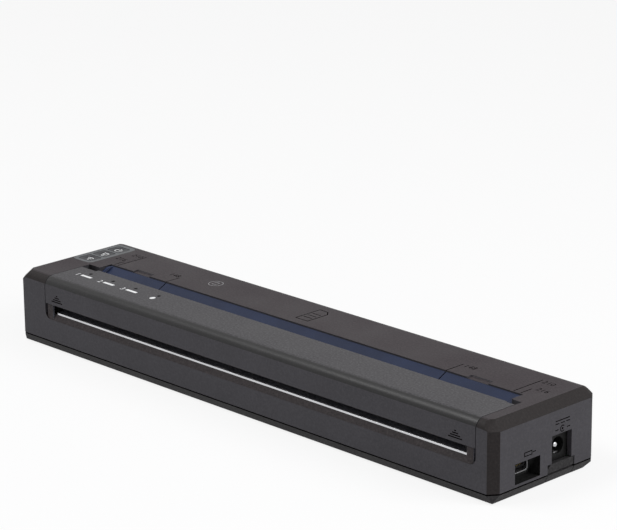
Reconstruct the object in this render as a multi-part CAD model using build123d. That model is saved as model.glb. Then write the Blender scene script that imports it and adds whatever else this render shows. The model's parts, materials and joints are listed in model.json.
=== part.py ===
from build123d import *
import math
import os

# A slim A4 thermal printer that lies flat on a desk. Millimetres, +Z up.
# X runs along the printer with the connectors at its +X end, the paper leaves at the front, -Y,
# and the origin is the middle of the printer's footprint on the desk.

# --- stock sizes of what the printer is built round ---
media_width = 216.0
platen_radius = 5.2
cell_radius = 9.1
cell_length = 50.0
cell_count = 3

# --- clearances and gaps ---
seam_gap = 0.3
fit_gap = 0.2
running_gap = 0.05
nip_gap = 0.3
free_gap = 0.6

# --- plastic parts ---
wall = 2.0
rib = 1.2
end_chamfer = 3.5
corner_cut_x = 2.8
corner_cut_y = 3.6
edge_radius = 4.0
rear_edge_radius = 5.0

# --- lengths along X, added up to the whole length ---
left_end = 16.7
left_margin = 7.8
right_margin = 6.3
right_end = 8.2
cover_length = left_margin + media_width + right_margin
length = left_end + cover_length + right_end
x_left = -length / 2
x_right = length / 2
cover_left = x_left + left_end
cover_right = x_right - right_end
media_left = cover_left + left_margin
media_right = media_left + media_width

# --- depths along Y, added up to the whole depth ---
print_zone = 29.5
guide_zone = 2.3
pack_width = 20.0
rear_gap = 1.2
depth = print_zone + guide_zone + pack_width + rear_gap + wall
front = -depth / 2
rear = depth / 2
slot_rear = front + print_zone
pack_front = slot_rear + guide_zone
pack_rear = pack_front + pack_width

# --- heights along Z, added up to the whole height ---
foot_lift = 0.5
floor_wall = 1.8
floor_top = foot_lift + floor_wall
platen_floor_gap = 3.7
substrate_height = 1.0
bead_height = 0.1
sink_height = 3.2
spring_height = 4.2
bracket_sheet = 0.8
cover_boss = 2.0
platen_y = front + 15.5
bracket_screw_y = platen_y - 1.0
platen_z = floor_top + platen_floor_gap + platen_radius
platen_top = platen_z + platen_radius
bead_low = platen_top + nip_gap
substrate_low = bead_low + bead_height
sink_low = substrate_low + substrate_height
sink_top = sink_low + sink_height
bracket_low = sink_top + spring_height
bracket_top = bracket_low + bracket_sheet
deck_under = bracket_top + cover_boss
deck_top = deck_under + wall

# --- base and its seam ---
base_top = 3.5
case_bottom = 4.0
base_taper = 1.5
rear_bevel = 6.0
lip_height = 5.6
lip_wall = 1.0

# --- release cover and its hinge ---
cover_lower_edge = 19.3
cover_plate_rear = front + 20.5
skirt_wall = 1.2
skirt_low = 22.0
hinge_y = front + 22.9
hinge_z = deck_under - 2.0
hinge_pin_radius = 0.9
ear_radius = 1.7
ear_width = 2.2
left_notch_width = 8.8
left_notch_front = front + 19.1
right_notch_width = 3.9
right_notch_front = front + 19.9
case_rear_edge = front + 23.3
swing_relief = 0.4
hook_width = 2.0
hook_front = front + 3.1
hook_reach = 2.2
hook_drop = 3.6

# --- paper slots ---
guide_drop = 0.5
guide_slope = 0.49
guide_wall = 1.4
guide_side_wall = 1.4
guide_shoulder = 2.7
guide_bend_y = front + 23.6
guide_throat_y = guide_bend_y - 0.8
guide_throat_z = 25.2
guide_left = media_left - fit_gap - guide_side_wall
guide_right = media_right + fit_gap + guide_side_wall
deck_gap = 0.15
slot_lower_edge = 13.0
slot_corner_radius = 3.0
post_width = 3.2
bar_low = 15.1
bar_height = 0.8
bar_depth = 0.9
bar_front = front + 1.6
exit_plate_top = 16.3
sill_rear = front + 9.9

# --- metal side frames, platen and gears ---
frame_sheet = 1.2
frame_low = floor_top + free_gap
frame_top = deck_under - 0.4
frame_foot_ys = (front + 13.0, front + 24.0)
left_frame_x = cover_left - 1.8
right_frame_x = media_right + 2.4
shaft_core_radius = 3.0
journal_radius = 2.0
bearing_radius = 3.6
bearing_flange_radius = 4.4
bearing_flange = 0.8
platen_side_gap = 0.5
gear_module = 0.4
gear_backlash = 0.12
gear_width = 2.6
platen_teeth = 36
idler_teeth = 30
compound_small_teeth = 12
compound_large_teeth = 32
pinion_teeth = 12
idler_angle = 15.0
compound_angle = -30.5
motor_angle = 24.6
post_radius = 1.0
motor_radius = 9.0
motor_length = 17.0
motor_shaft_radius = 0.75

# --- battery and its door ---
cell_end_room = 3.8
pack_length = cell_count * cell_length + 2 * cell_end_room
pack_right = x_right - 19.7
pack_left = pack_right - pack_length
pack_gap = 0.5
bay_wall_top = 18.0
pack_low = floor_top + 2.1
board_low = deck_under - 2.8
pack_high = board_low - 1.0
pack_skin = 0.7
door_front = pack_front - 0.9
tongue_front = front + 28.3
tongue_rear = front + 42.5
tongue_top = 7.2
tongue_groove_depth = 0.6

# --- boards ---
board_sheet = 1.2
board_margin = 0.4
board_part_gap = 1.0
chip_pitch = 31.0
capacitor_radius = 3.4
capacitor_height = 12.0
coil_width = 6.5
coil_depth = 11.5
coil_height = 5.0
port_board_low = 5.4
port_board_sheet = 1.5
port_board_top = port_board_low + port_board_sheet

# --- connectors in the right end ---
usb_y = front + 17.8
usb_width = 8.0
usb_height = 4.0
usb_recess_width = 13.0
usb_recess_low = 5.0
usb_recess_high = 12.5
usb_recess_depth = 5.0
usb_stand_off = 1.5
dc_y = front + 35.6
dc_z = 12.4
dc_width = 10.4
dc_bore_radius = 3.2
dc_pin_radius = 1.0
dc_body_length = 12.5

# --- keys in the rear left corner ---
panel_front = front + 24.5
panel_length = 25.4
panel_width = 11.2
panel_sheet = 0.8
panel_corner = 2.4
key_corner = 1.2
panel_x = x_left + end_chamfer + 0.4 + panel_width / 2
key_pitch = 7.6
key_length_x = 7.4
key_length_y = 6.2
key_travel = 0.6
key_dish = 0.4
key_sink = 0.1
key_y = panel_front + 4.9
key_board_low = 22.0
key_board_sheet = 1.0

# --- status lights in the cover ---
light_first_x = media_left + 2.5
light_pitch = 13.6
light_count = 4
light_y = front + 15.2
light_radius = 0.75
status_board_sheet = 0.8
status_board_top = bracket_top + fit_gap + status_board_sheet

# --- feet and screws ---
foot_radius = 2.8
foot_inset_x = 12.0
foot_front_y = front + 7.5
foot_rear_y = tongue_rear + 3.2
screw_radius = 1.0
screw_head_radius = 1.9
screw_head_height = 1.0
thin_head_height = 0.7
case_screw_tip = 9.5
case_bore_top = 11.0
boss_radius = 2.2
post_root = 0.5
boss_end_inset = 6.0
boss_corner_inset = 5.0
boss_front_inset = 4.2
boss_rear_inset = 5.4
front_boss_x = x_right - 67.5
motor_boss_gap = 3.6
rear_boss_x = left_frame_x + frame_sheet + motor_length + motor_boss_gap + boss_radius
main_board_left = rear_boss_x + boss_radius + board_margin


def block(x_span, y_span, z_span):
    """Box between two places on each axis."""
    spans = (x_span, y_span, z_span)
    middle = [(low + high) / 2 for low, high in spans]
    sizes = [high - low for low, high in spans]
    return Pos(*middle) * Box(*sizes)


def along_x(outline, x_span):
    """Solid with an outline in (y, z), run along X."""
    face = Plane.YZ.offset(x_span[0]) * Polygon(*outline, align=None)
    return extrude(face, amount=x_span[1] - x_span[0], dir=(1, 0, 0))


def along_y(outline, y_span):
    """Solid with an outline in (x, z), run along Y."""
    face = Plane((0, y_span[0], 0), (1, 0, 0), (0, -1, 0)) * Polygon(*outline, align=None)
    return extrude(face, amount=y_span[1] - y_span[0], dir=(0, 1, 0))


def along_z(outline, z_span):
    """Solid with an outline in (x, y), run along Z."""
    face = Pos(0, 0, z_span[0]) * Polygon(*outline, align=None)
    return extrude(face, amount=z_span[1] - z_span[0], dir=(0, 0, 1))


def rod_x(radius, x_span, y, z):
    """Round rod along X."""
    middle = (x_span[0] + x_span[1]) / 2
    return Pos(middle, y, z) * Rot(0, 90, 0) * Cylinder(radius, x_span[1] - x_span[0])


def rod_z(radius, x, y, z_span):
    """Round rod along Z."""
    middle = (z_span[0] + z_span[1]) / 2
    return Pos(x, y, middle) * Cylinder(radius, z_span[1] - z_span[0])


def rounded(solid, axis, radius):
    """The solid with its edges along one axis rounded."""
    return fillet(solid.edges().filter_by(axis), radius)


def joined(solids):
    """One shape that holds several solids."""
    return Compound(children=[solid for item in solids for solid in item.solids()])


# --- outer form -------------------------------------------------------------

def chamfer_inside(size, inset):
    """Size of a 45 degree corner cut once its faces are moved inwards."""
    return size - inset * (2 - math.sqrt(2))


def case_block(inset, z_low):
    """The case's outer form, or the same form moved inwards."""
    x_far = x_right - inset
    y_far = rear - inset
    z_far = deck_top - inset
    body = block((-x_far, x_far), (-y_far, y_far), (z_low, z_far))
    long_edges = body.edges().filter_by(Axis.X).group_by(Axis.Z)[-1].sort_by(Axis.Y)
    body = fillet(long_edges[0], edge_radius - inset)
    rear_edge = body.edges().filter_by(Axis.X).filter_by_position(Axis.Y, y_far, y_far).sort_by(Axis.Z)[-1]
    body = fillet(rear_edge, rear_edge_radius - inset)
    cut = chamfer_inside(end_chamfer, inset)
    end_outline = [(-x_far, z_low), (x_far, z_low), (x_far, z_far - cut), (x_far - cut, z_far),
                   (cut - x_far, z_far), (-x_far, z_far - cut)]
    body &= along_y(end_outline, (-y_far, y_far))
    body &= along_z(plan_outline(x_far, y_far, inset), (z_low, z_far))
    for slope in corner_slopes(x_far, y_far, z_far - cut, inset):
        body -= slope
    return body


def corner_slopes(x_far, y_far, z_edge, inset):
    """What the top chamfer takes away above the four cut corners."""
    cut_x = chamfer_inside(corner_cut_x, inset)
    cut_y = chamfer_inside(corner_cut_y, inset)
    reach = 30.0
    slopes = []
    for side_x in (-1, 1):
        for side_y in (-1, 1):
            middle = (side_x * (x_far - cut_x / 2), side_y * (y_far - cut_y / 2), z_edge)
            out = Vector(side_x * cut_y, side_y * cut_x, 0).normalized()
            face = Plane(middle, (-out.Y, out.X, 0), (out.X, out.Y, 1))
            slopes.append(face * Box(reach, reach, reach / 3, align=(Align.CENTER, Align.CENTER, Align.MIN)))
    return slopes


def plan_outline(x_far, y_far, inset):
    """Footprint with its four corners cut."""
    cut_x = chamfer_inside(corner_cut_x, inset)
    cut_y = chamfer_inside(corner_cut_y, inset)
    return [(cut_x - x_far, -y_far), (x_far - cut_x, -y_far), (x_far, cut_y - y_far),
            (x_far, y_far - cut_y), (x_far - cut_x, y_far), (cut_x - x_far, y_far),
            (-x_far, y_far - cut_y), (-x_far, cut_y - y_far)]


def base_block():
    """The base's outer form: narrower at the desk, with a wide bevel at the rear."""
    side_outline = [(front, base_top), (rear, base_top), (rear - rear_bevel, foot_lift),
                    (front + base_taper, foot_lift)]
    end_outline = [(x_left, base_top), (x_right, base_top), (x_right - base_taper, foot_lift),
                   (x_left + base_taper, foot_lift)]
    body = along_x(side_outline, (x_left, x_right))
    body &= along_y(end_outline, (front, rear))
    return body & along_z(plan_outline(x_right, rear, 0), (foot_lift, base_top))


def base_shell():
    """The base's outer form, hollowed from above."""
    bevel_slope = (base_top - foot_lift) / rear_bevel
    bevel_tilt = math.atan(bevel_slope)
    inner_rear = rear - rear_bevel - floor_wall * math.tan(bevel_tilt / 2)
    rise = case_bottom - floor_top
    hollow_outline = [(front + wall, floor_top), (inner_rear, floor_top),
                      (inner_rear + rise / bevel_slope, case_bottom), (front + wall, case_bottom)]
    hollow = along_x(hollow_outline, (x_left + wall, x_right - wall))
    hollow &= along_z(plan_outline(x_right - wall, rear - wall, wall), (floor_top, case_bottom))
    return base_block() - hollow


def door_region(gap):
    """Space of the battery door: the bay's floor and a tongue to the right end."""
    bay = block((pack_left - pack_gap + gap, pack_right + pack_gap - gap),
                (door_front + gap, rear + 1), (0, case_bottom))
    tongue = block((pack_right - pack_gap, x_right + 1),
                   (tongue_front + gap, tongue_rear - gap), (0, case_bottom))
    return bay + tongue


# --- upper case -------------------------------------------------------------

def cover_opening():
    """What the release cover and the exit slot take out of the case."""
    x_span = (cover_left - seam_gap, cover_right + seam_gap)
    face = block(x_span, (front - 1, front + 2 * wall), (slot_lower_edge, deck_top + 1))
    lower_edges = face.edges().filter_by(Axis.Y).group_by(Axis.Z)[0]
    face = fillet(lower_edges, slot_corner_radius)
    top = block(x_span, (front - 1, case_rear_edge), (deck_under - 1, deck_top + 1))
    return face + top


def throat_opening():
    """The paper slot in the deck, with two thumb ledges in its rear lip."""
    slot = block((guide_left - deck_gap, guide_right + deck_gap), (case_rear_edge - 1, slot_rear),
                 (deck_under - 1, deck_top + 1))
    slot += block((guide_right, cover_right - right_notch_width + deck_gap),
                  (case_rear_edge - 1, case_rear_edge + swing_relief), (deck_under - 1, deck_top + 1))
    for x_span in ((media_left + 11.4, media_left + 21.4), (media_right - 24.6, media_right - 14.4)):
        slot += block(x_span, (slot_rear - 1, slot_rear + 2.7), (deck_top - guide_drop, deck_top + 1))
    return slot


def key_places():
    """Middle of each key along Y."""
    return [key_y + number * key_pitch for number in range(3)]


def key_openings():
    """Recess for the key panel and the holes that the keys move in."""
    panel = panel_block(0.05, deck_top - panel_sheet, deck_top + 1)
    for y in key_places():
        panel += key_block(y, fit_gap, deck_under - 1, deck_top)
    return panel


def panel_block(gap, z_low, z_high):
    """The key panel's form, made larger by a gap all round."""
    panel = block((panel_x - panel_width / 2 - gap, panel_x + panel_width / 2 + gap),
                  (panel_front - gap, panel_front + panel_length + gap), (z_low, z_high))
    return rounded(panel, Axis.Z, panel_corner)


def key_block(y, gap, z_low, z_high):
    """A key's form, made larger by a gap all round."""
    key = block((panel_x - key_length_x / 2 - gap, panel_x + key_length_x / 2 + gap),
                (y - key_length_y / 2 - gap, y + key_length_y / 2 + gap), (z_low, z_high))
    return rounded(key, Axis.Z, key_corner)


def usb_pocket():
    """Walls of the recess that the USB plug's body enters."""
    half = usb_recess_width / 2
    return block((x_right - usb_recess_depth - rib, x_right - wall + 0.5),
                 (usb_y - half - rib, usb_y + half + rib), (case_bottom, usb_recess_high + rib))


def usb_socket_z():
    """Height of the middle of the USB socket."""
    return port_board_top + usb_height / 2


def port_openings():
    """Windows in the right end for the connectors and the door's tongue."""
    half = usb_recess_width / 2
    openings = block((x_right - usb_recess_depth, x_right + 1), (usb_y - half, usb_y + half),
                     (usb_recess_low, usb_recess_high))
    openings += block((x_right - 2 * usb_recess_depth, x_right - 1),
                      (usb_y - usb_width / 2 - fit_gap, usb_y + usb_width / 2 + fit_gap),
                      (port_board_top - fit_gap, port_board_top + usb_height + fit_gap))
    openings += block((x_right - wall - 1, x_right + 1), (dc_y - dc_width / 2, dc_y + dc_width / 2),
                      (tongue_top - 1, dc_z + dc_width / 2))
    return openings + block((x_right - wall - 1, x_right + 1),
                            (tongue_front, tongue_rear), (0, tongue_top + fit_gap))


def case_boss_places():
    """Where the base is screwed to the case, with each boss's top."""
    corner_x = x_right - boss_end_inset
    corner_y = front + boss_corner_inset
    front_y = front + boss_front_inset
    rear_y = rear - boss_rear_inset
    tall = deck_under + post_root
    low = slot_lower_edge - fit_gap
    return [(-corner_x, corner_y, tall), (corner_x, corner_y, tall),
            (-front_boss_x, front_y, low), (front_boss_x, front_y, low),
            (rear_boss_x, rear_y, tall), (corner_x - 1.4, rear_y, tall)]


def board_screw_places():
    """Where the main board is screwed under the deck."""
    pack_middle = (pack_left + pack_right) / 2
    return [(main_board_left + 5, rear - 6.5), (pack_middle - 17, pack_front + 4),
            (pack_right - 8, rear - 6.5)]


def key_board_screw_places():
    """Y of the two bosses that carry the key board."""
    return (panel_front - 1.9, panel_front + panel_length + 0.4)


def make_upper_case():
    """Deck, both ends and the lower front, in one moulding."""
    case = case_block(0, case_bottom) - case_block(wall, -1)
    case = case - cover_opening() - throat_opening() - key_openings()
    pocket = usb_pocket()
    case = case + pocket - port_openings()
    for x, y, z_high in case_boss_places():
        case += rod_z(boss_radius, x, y, (base_top + fit_gap, z_high))
        outer_y = math.copysign(rear - wall / 2, y)
        case += block((x - rib / 2, x + rib / 2), sorted((y, outer_y)), (case_bottom + lip_height, z_high))
    for x, y in board_screw_places():
        case += rod_z(boss_radius, x, y, (board_low + board_sheet, deck_under + post_root))
    for y in key_board_screw_places():
        case += rod_z(1.8, panel_x, y, (key_board_low + key_board_sheet, deck_under + post_root))
    for bore in case_screw_bores():
        case -= bore
    return case


def case_screw_bores():
    """Blind bores that the case's screws turn into."""
    bores = [rod_z(screw_radius, x, y, (0, case_bore_top)) for x, y, top in case_boss_places()]
    bores += [rod_z(screw_radius, x, y, (board_low, deck_under - 0.2)) for x, y in board_screw_places()]
    bores += [rod_z(screw_radius, panel_x, y, (key_board_low, key_board_low + 4.4))
              for y in key_board_screw_places()]
    return bores


# --- base, feet and screws ----------------------------------------------------

def base_lip():
    """Rim that stands inside the case and closes the seam."""
    inset = wall + fit_gap
    ring = case_block(inset, base_top - 1) - case_block(inset + lip_wall, -1)
    ring &= block((x_left, x_right - 8.0), (front, rear), (base_top - 1, lip_height))
    ring -= block((pack_left - 4, x_right), (front + 20, rear), (0, deck_top))
    for x, y, top in case_boss_places():
        ring -= rod_z(boss_radius + fit_gap, x, y, (0, deck_top))
    return ring


def bay_walls():
    """Three walls that hold the battery pack in its bay."""
    x_low = pack_left - pack_gap - rib - fit_gap
    x_high = pack_right + pack_gap + rib + fit_gap
    heights = (floor_top - post_root, bay_wall_top)
    front_wall = block((x_low, x_high), (door_front - rib, door_front), heights)
    left_wall = block((x_low, x_low + rib), (door_front - rib, pack_rear), heights)
    right_wall = block((x_high - rib, x_high), (door_front - rib, pack_rear), heights)
    walls = front_wall + left_wall + right_wall
    return walls - block((pack_right - 2 * pack_gap, x_right), (tongue_front, tongue_rear),
                         (0, floor_top + fit_gap))


def foot_places():
    """Middles of the four rubber feet."""
    return [(side * (x_right - foot_inset_x), y) for side in (-1, 1) for y in (foot_front_y, foot_rear_y)]


def frame_foot_places():
    """Bosses under the feet of the two side frames."""
    return [(x, y) for x in (left_frame_x + 4.0, right_frame_x - 3.0) for y in frame_foot_ys]


def make_base():
    """Bottom tray with the battery bay."""
    base = base_shell() + base_lip() - door_region(0) + bay_walls()
    for x, y in frame_foot_places():
        base += rod_z(1.8, x, y, (floor_top - post_root, frame_low))
    for x, y in port_board_post_places():
        base += rod_z(1.5, x, y, (floor_top - post_root, port_board_low))
    for x, y in foot_places():
        base -= rod_z(foot_radius + 0.05, x, y, (0, 2 * foot_lift))
    for x, y, top in case_boss_places():
        base += rod_z(boss_radius + 1.0, x, y, (floor_top - post_root, base_top)) & base_block()
        base -= rod_z(screw_radius + fit_gap, x, y, (0, case_bottom))
        base -= rod_z(screw_head_radius + fit_gap, x, y, (0, foot_lift + fit_gap + screw_head_height))
    return base


def make_feet():
    """Four rubber feet let into the base."""
    return joined([rod_z(foot_radius, x, y, (0, 2 * foot_lift)) for x, y in foot_places()])


def screw(x, y, head_low, head_height, tip):
    """Screw that points up, with a cross recess in its head."""
    body = rod_z(screw_head_radius, x, y, (head_low, head_low + head_height))
    body += rod_z(screw_radius - 0.05, x, y, (head_low, tip))
    for x_half, y_half in ((1.1, 0.2), (0.2, 1.1)):
        body -= block((x - x_half, x + x_half), (y - y_half, y + y_half), (head_low - 1, head_low + 0.5))
    return body


def make_base_screws():
    """Screws from the base into the case."""
    head_low = foot_lift + fit_gap
    return joined([screw(x, y, head_low, screw_head_height, case_screw_tip)
                   for x, y, top in case_boss_places()])


def make_board_screws():
    """Screws that hold the main board and the key board under the deck."""
    main = [screw(x, y, board_low - thin_head_height, thin_head_height, deck_under - 0.6)
            for x, y in board_screw_places()]
    keys = [screw(panel_x, y, key_board_low - thin_head_height, thin_head_height, key_board_low + 4.0)
            for y in key_board_screw_places()]
    return joined(main + keys)


# --- battery ------------------------------------------------------------------

def make_battery_door():
    """Door under the battery, with the rear bevel and a tongue in the right end's window."""
    door = base_shell() & door_region(fit_gap)
    upright = block((x_right - wall, x_right - fit_gap), (tongue_front + fit_gap, tongue_rear - fit_gap),
                    (base_top - 0.3, tongue_top))
    edges = upright.edges().filter_by(Axis.X).group_by(Axis.Z)[-1].sort_by(Axis.Y)
    upright = chamfer(edges[0], 1.6)
    groove = block((x_right - fit_gap - tongue_groove_depth, x_right + 1), (tongue_front, tongue_rear),
                   (base_top, case_bottom + 0.1))
    return door + upright - groove


def make_battery_pack():
    """Skin of the lift-out battery pack."""
    pack = block((pack_left, pack_right), (pack_front, pack_rear), (pack_low, pack_high))
    pack = rounded(pack, Axis.X, 3.0)
    hollow = block((pack_left + pack_skin, pack_right - pack_skin),
                   (pack_front + pack_skin, pack_rear - pack_skin),
                   (pack_low + pack_skin, pack_high - pack_skin))
    return pack - rounded(hollow, Axis.X, 2.3)


def make_battery_cells():
    """Round cells in a row inside the pack."""
    y = (pack_front + pack_rear) / 2
    z = (pack_low + pack_high) / 2
    cells = []
    for number in range(cell_count):
        x = pack_left + cell_end_room + number * cell_length
        cells.append(rod_x(cell_radius, (x + 0.2, x + cell_length - 0.9), y, z)
                     + rod_x(2.5, (x + 0.2, x + cell_length - 0.1), y, z))
    return joined(cells)


def contact_places():
    """Y of the battery's four contacts."""
    return [pack_front + 4.0 + 4.0 * number for number in range(4)]


def make_battery_contacts():
    """Brass strips on the right end of the pack."""
    return joined([block((pack_right, pack_right + 0.2), (y - 1, y + 1), (pack_low + 4, pack_high - 4))
                   for y in contact_places()])


def make_battery_terminals():
    """Block with spring strips on the wall of the bay, facing the pack's contacts."""
    wall_face = pack_right + pack_gap + fit_gap
    holder = block((wall_face + rib, wall_face + rib + 1.6), (pack_front + 2, pack_rear - 2), (9.0, 17.0))
    fingers = [block((pack_right + 0.3, wall_face), (y - 0.8, y + 0.8), (9.5, 16.5))
               for y in contact_places()]
    return joined([holder] + fingers)


# --- release cover --------------------------------------------------------------

def cover_ends():
    """X spans of the hinge ears at the cover's two ends."""
    return ((cover_left + 0.2, cover_left + 0.2 + ear_width),
            (cover_right - 0.2 - ear_width, cover_right - 0.2))


def cover_ear(x_span):
    """Arm from the cover's plate back to the hinge pin."""
    arm = block(x_span, (hinge_y - 8.5, hinge_y), (hinge_z - ear_radius, hinge_z + ear_radius))
    arm += rod_x(ear_radius, x_span, hinge_y, hinge_z)
    arm += block(x_span, (hinge_y - 8.5, left_notch_front - 0.6),
                 (hinge_z - ear_radius, deck_under + post_root))
    return arm - rod_x(hinge_pin_radius + running_gap, (x_span[0] - 1, x_span[1] + 1), hinge_y, hinge_z)


def cover_notches():
    """Gaps in the cover's rear corners that the hinge ears show through."""
    left = block((cover_left - 1, cover_left + left_notch_width),
                 (left_notch_front, cover_plate_rear + 1), (deck_under - 2, deck_top + 1))
    right = block((cover_right - right_notch_width, cover_right + 1),
                  (right_notch_front, cover_plate_rear + 1), (deck_under - 2, deck_top + 1))
    return left + right


def light_places():
    """X of the status lights."""
    return [light_first_x + number * light_pitch for number in range(light_count)]


def bracket_screw_places():
    """X of the screws that hold the head's bracket."""
    return [media_left + 58.0, (media_left + media_right) / 2 + 20.0, media_right - 16.0]


def cover_ribs():
    """Stiffening ribs behind the cover's front wall and at its ends."""
    ribs = []
    count = 9
    for number in range(count):
        x = cover_left + 22.0 + number * (cover_length - 44.0) / (count - 1)
        ribs.append(along_x([(front + 1.5, cover_lower_edge + 0.6), (front + 1.5, deck_under + post_root),
                             (front + 7.5, deck_under + post_root), (front + 2.6, cover_lower_edge + 0.6)],
                            (x - rib / 2, x + rib / 2)))
    for x_low, x_high in cover_ends():
        ribs.append(block((x_low, x_high), (front + 1.0, hinge_y - 8.0),
                          (cover_lower_edge + 1.5, deck_under + post_root))
                    & case_block(0.5, 0))
    return ribs


def make_release_cover():
    """Lid over the print head, with the front wall above the exit slot."""
    region = block((cover_left, cover_right), (front - 1, cover_plate_rear),
                   (cover_lower_edge, deck_top + 1))
    cover = (case_block(0, 0) - case_block(wall, -1)) & region
    for part in cover_ribs():
        cover += part
    cover += block((media_left, media_right), (cover_plate_rear - skirt_wall, cover_plate_rear),
                   (skirt_low, deck_under + post_root))
    cover -= cover_notches()
    for x_span in cover_ends():
        cover += cover_ear(x_span)
    for x in bracket_screw_places():
        cover += rod_z(boss_radius, x, bracket_screw_y, (bracket_top, deck_under + post_root))
        cover -= rod_z(screw_radius, x, bracket_screw_y, (bracket_low, deck_top - 0.7))
    for x in light_places():
        cover -= rod_z(light_radius + 0.05, x, light_y, (deck_under - 1, deck_top + 1))
    return cover


def cover_hook(x_span):
    """Finger at the front of the cover that snaps behind a leaf spring."""
    y = hook_front
    low = cover_lower_edge - hook_drop
    outline = [(y, cover_lower_edge + 3), (y, low), (y + 1.2, low), (y + hook_reach, low + 0.7),
               (y + hook_reach, low + 1.4), (y + 1.4, low + 2.0), (y + 1.4, cover_lower_edge + 3)]
    return along_x(outline, x_span)


def hook_spans():
    """X spans of the two hooks."""
    left = cover_left + 0.2 + ear_width
    right = cover_right - 0.2 - ear_width
    return ((left, left + hook_width), (right - hook_width, right))


def make_latch_springs():
    """Leaf springs that stand behind the cover's hooks."""
    y = hook_front + hook_reach + fit_gap
    leaves = []
    for x_low, x_high in hook_spans():
        upright = block((x_low, x_high), (y + 0.7, y + 1.1), (floor_top, cover_lower_edge - 0.4))
        bump = along_x([(y + 0.8, cover_lower_edge - 2.6), (y, cover_lower_edge - 1.8),
                        (y, cover_lower_edge - 1.3), (y + 0.8, cover_lower_edge - 0.6)], (x_low, x_high))
        leaves.append(upright + bump)
    return joined(leaves)


def make_hinge_pins():
    """Two steel pins from the side frames into the cover's ears."""
    left, right = cover_ends()
    return joined([rod_x(hinge_pin_radius, (left_frame_x, left[1]), hinge_y, hinge_z),
                   rod_x(hinge_pin_radius, (right_frame_x, right[1]), hinge_y, hinge_z)])


def make_status_board():
    """Small board with a light under each lens."""
    board = block((light_places()[0] - 3, light_places()[-1] + 4), (light_y - 3.5, light_y + 2.5),
                  (status_board_top - status_board_sheet, status_board_top))
    for x in light_places():
        board += block((x - 0.8, x + 0.8), (light_y - 0.4, light_y + 0.4),
                       (status_board_top, status_board_top + 0.5))
    return board


def make_status_lights():
    """Clear lenses in the cover."""
    return joined([rod_z(light_radius, x, light_y, (status_board_top + free_gap, deck_top - 0.05))
                   for x in light_places()])


# --- print head -----------------------------------------------------------------

head_left = media_left - 1.5
head_right = media_right + 0.5
head_front = platen_y - 7.5
head_rear = platen_y + 5.2
lug_length = 3.8
lug_overlap = 0.5
guide_pin_radius = 1.2


def guide_pin_places():
    """X of the two pins that the head slides on."""
    reach = lug_length / 2 - lug_overlap
    return (head_left - reach, head_right - lug_length / 2 + 1.6)


def spring_places():
    """X of the four springs over the head."""
    span = head_right - head_left
    return [head_left + span * share for share in (0.14, 0.38, 0.62, 0.86)]


def make_head_bracket():
    """Sheet-metal channel under the cover that the head hangs from."""
    x_span = (head_left - lug_length, head_right)
    y_span = (platen_y - 6.5, platen_y + 3.3)
    bracket = block(x_span, y_span, (bracket_low, bracket_top))
    for y in (y_span[0], y_span[1] - bracket_sheet):
        bracket += block(x_span, (y, y + bracket_sheet), (bracket_low, deck_under - 0.8))
    for x in bracket_screw_places():
        bracket -= rod_z(screw_radius + 0.1, x, bracket_screw_y, (0, deck_top))
    for x in guide_pin_places():
        bracket -= rod_z(guide_pin_radius, x, platen_y, (0, deck_top))
    return bracket


def make_bracket_screws():
    """Screws from the bracket up into the cover."""
    return joined([screw(x, bracket_screw_y, bracket_low - thin_head_height, thin_head_height, deck_under + 0.6)
                   for x in bracket_screw_places()])


def make_guide_pins():
    """Headed pins that carry and guide the head."""
    pins = []
    for x in guide_pin_places():
        pins.append(rod_z(guide_pin_radius, x, platen_y, (sink_low, bracket_top))
                    + rod_z(guide_pin_radius + 0.7, x, platen_y, (sink_low - 0.5, sink_low)))
    return joined(pins)


def make_head_springs():
    """Four coil springs that press the head down on the platen."""
    wire = 0.25
    turns = 4
    height = spring_height - 2 * wire - 0.1
    springs = []
    for x in spring_places():
        path = Helix(height / turns, height, 1.8)
        section = Plane(origin=path @ 0, z_dir=path % 0) * Circle(wire)
        coil = sweep(section, path=path, is_frenet=True)
        springs.append(Pos(x, platen_y, sink_top + wire + 0.05) * coil)
    return joined(springs)


def make_head_sink():
    """Aluminium bar on the back of the head, with cooling grooves and a lug at each end."""
    sink = block((head_left, head_right), (head_front + 1, head_rear - 1), (sink_low, sink_top))
    for y in (platen_y - 4.6, platen_y + 2.4):
        sink -= block((head_left + 6, head_right - 6), (y, y + 0.9), (sink_top - 1.6, sink_top + 1))
    for x in guide_pin_places():
        sink += block((x - lug_length / 2, x + lug_length / 2), (platen_y - 2.4, platen_y + 2.4),
                      (sink_low + 0.1, sink_top))
    for x in guide_pin_places():
        sink -= rod_z(guide_pin_radius + running_gap, x, platen_y, (0, deck_top))
        sink -= rod_z(guide_pin_radius + 1.0, x, platen_y, (0, sink_low + 0.1))
    return sink


def make_head_substrate():
    """Ceramic plate with the line of heating dots along its underside."""
    left = guide_pin_places()[0] + guide_pin_radius + 1.2
    right = guide_pin_places()[1] - guide_pin_radius - 1.2
    plate = block((left, right), (head_front, head_rear), (substrate_low, sink_low))
    bead = block((media_left, right - 0.5), (platen_y - 0.6, platen_y + 0.6), (bead_low, substrate_low))
    return plate + bead


def make_driver_cover():
    """Dark strip over the head's driver chips."""
    right = guide_pin_places()[1] - guide_pin_radius - 1.2
    return block((head_left + 2, right - 2), (platen_y + 3.8, head_rear + 0.6),
                 (substrate_low - 0.9, substrate_low))


# --- side frames, platen and gears --------------------------------------------------

def gear_pitch(teeth):
    """Pitch radius of a gear."""
    return gear_module * teeth / 2


def next_centre(centre, distance, angle):
    """A shaft's place in (y, z), seen from the shaft before it."""
    turn = math.radians(angle)
    return (centre[0] + distance * math.cos(turn), centre[1] + distance * math.sin(turn))


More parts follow.
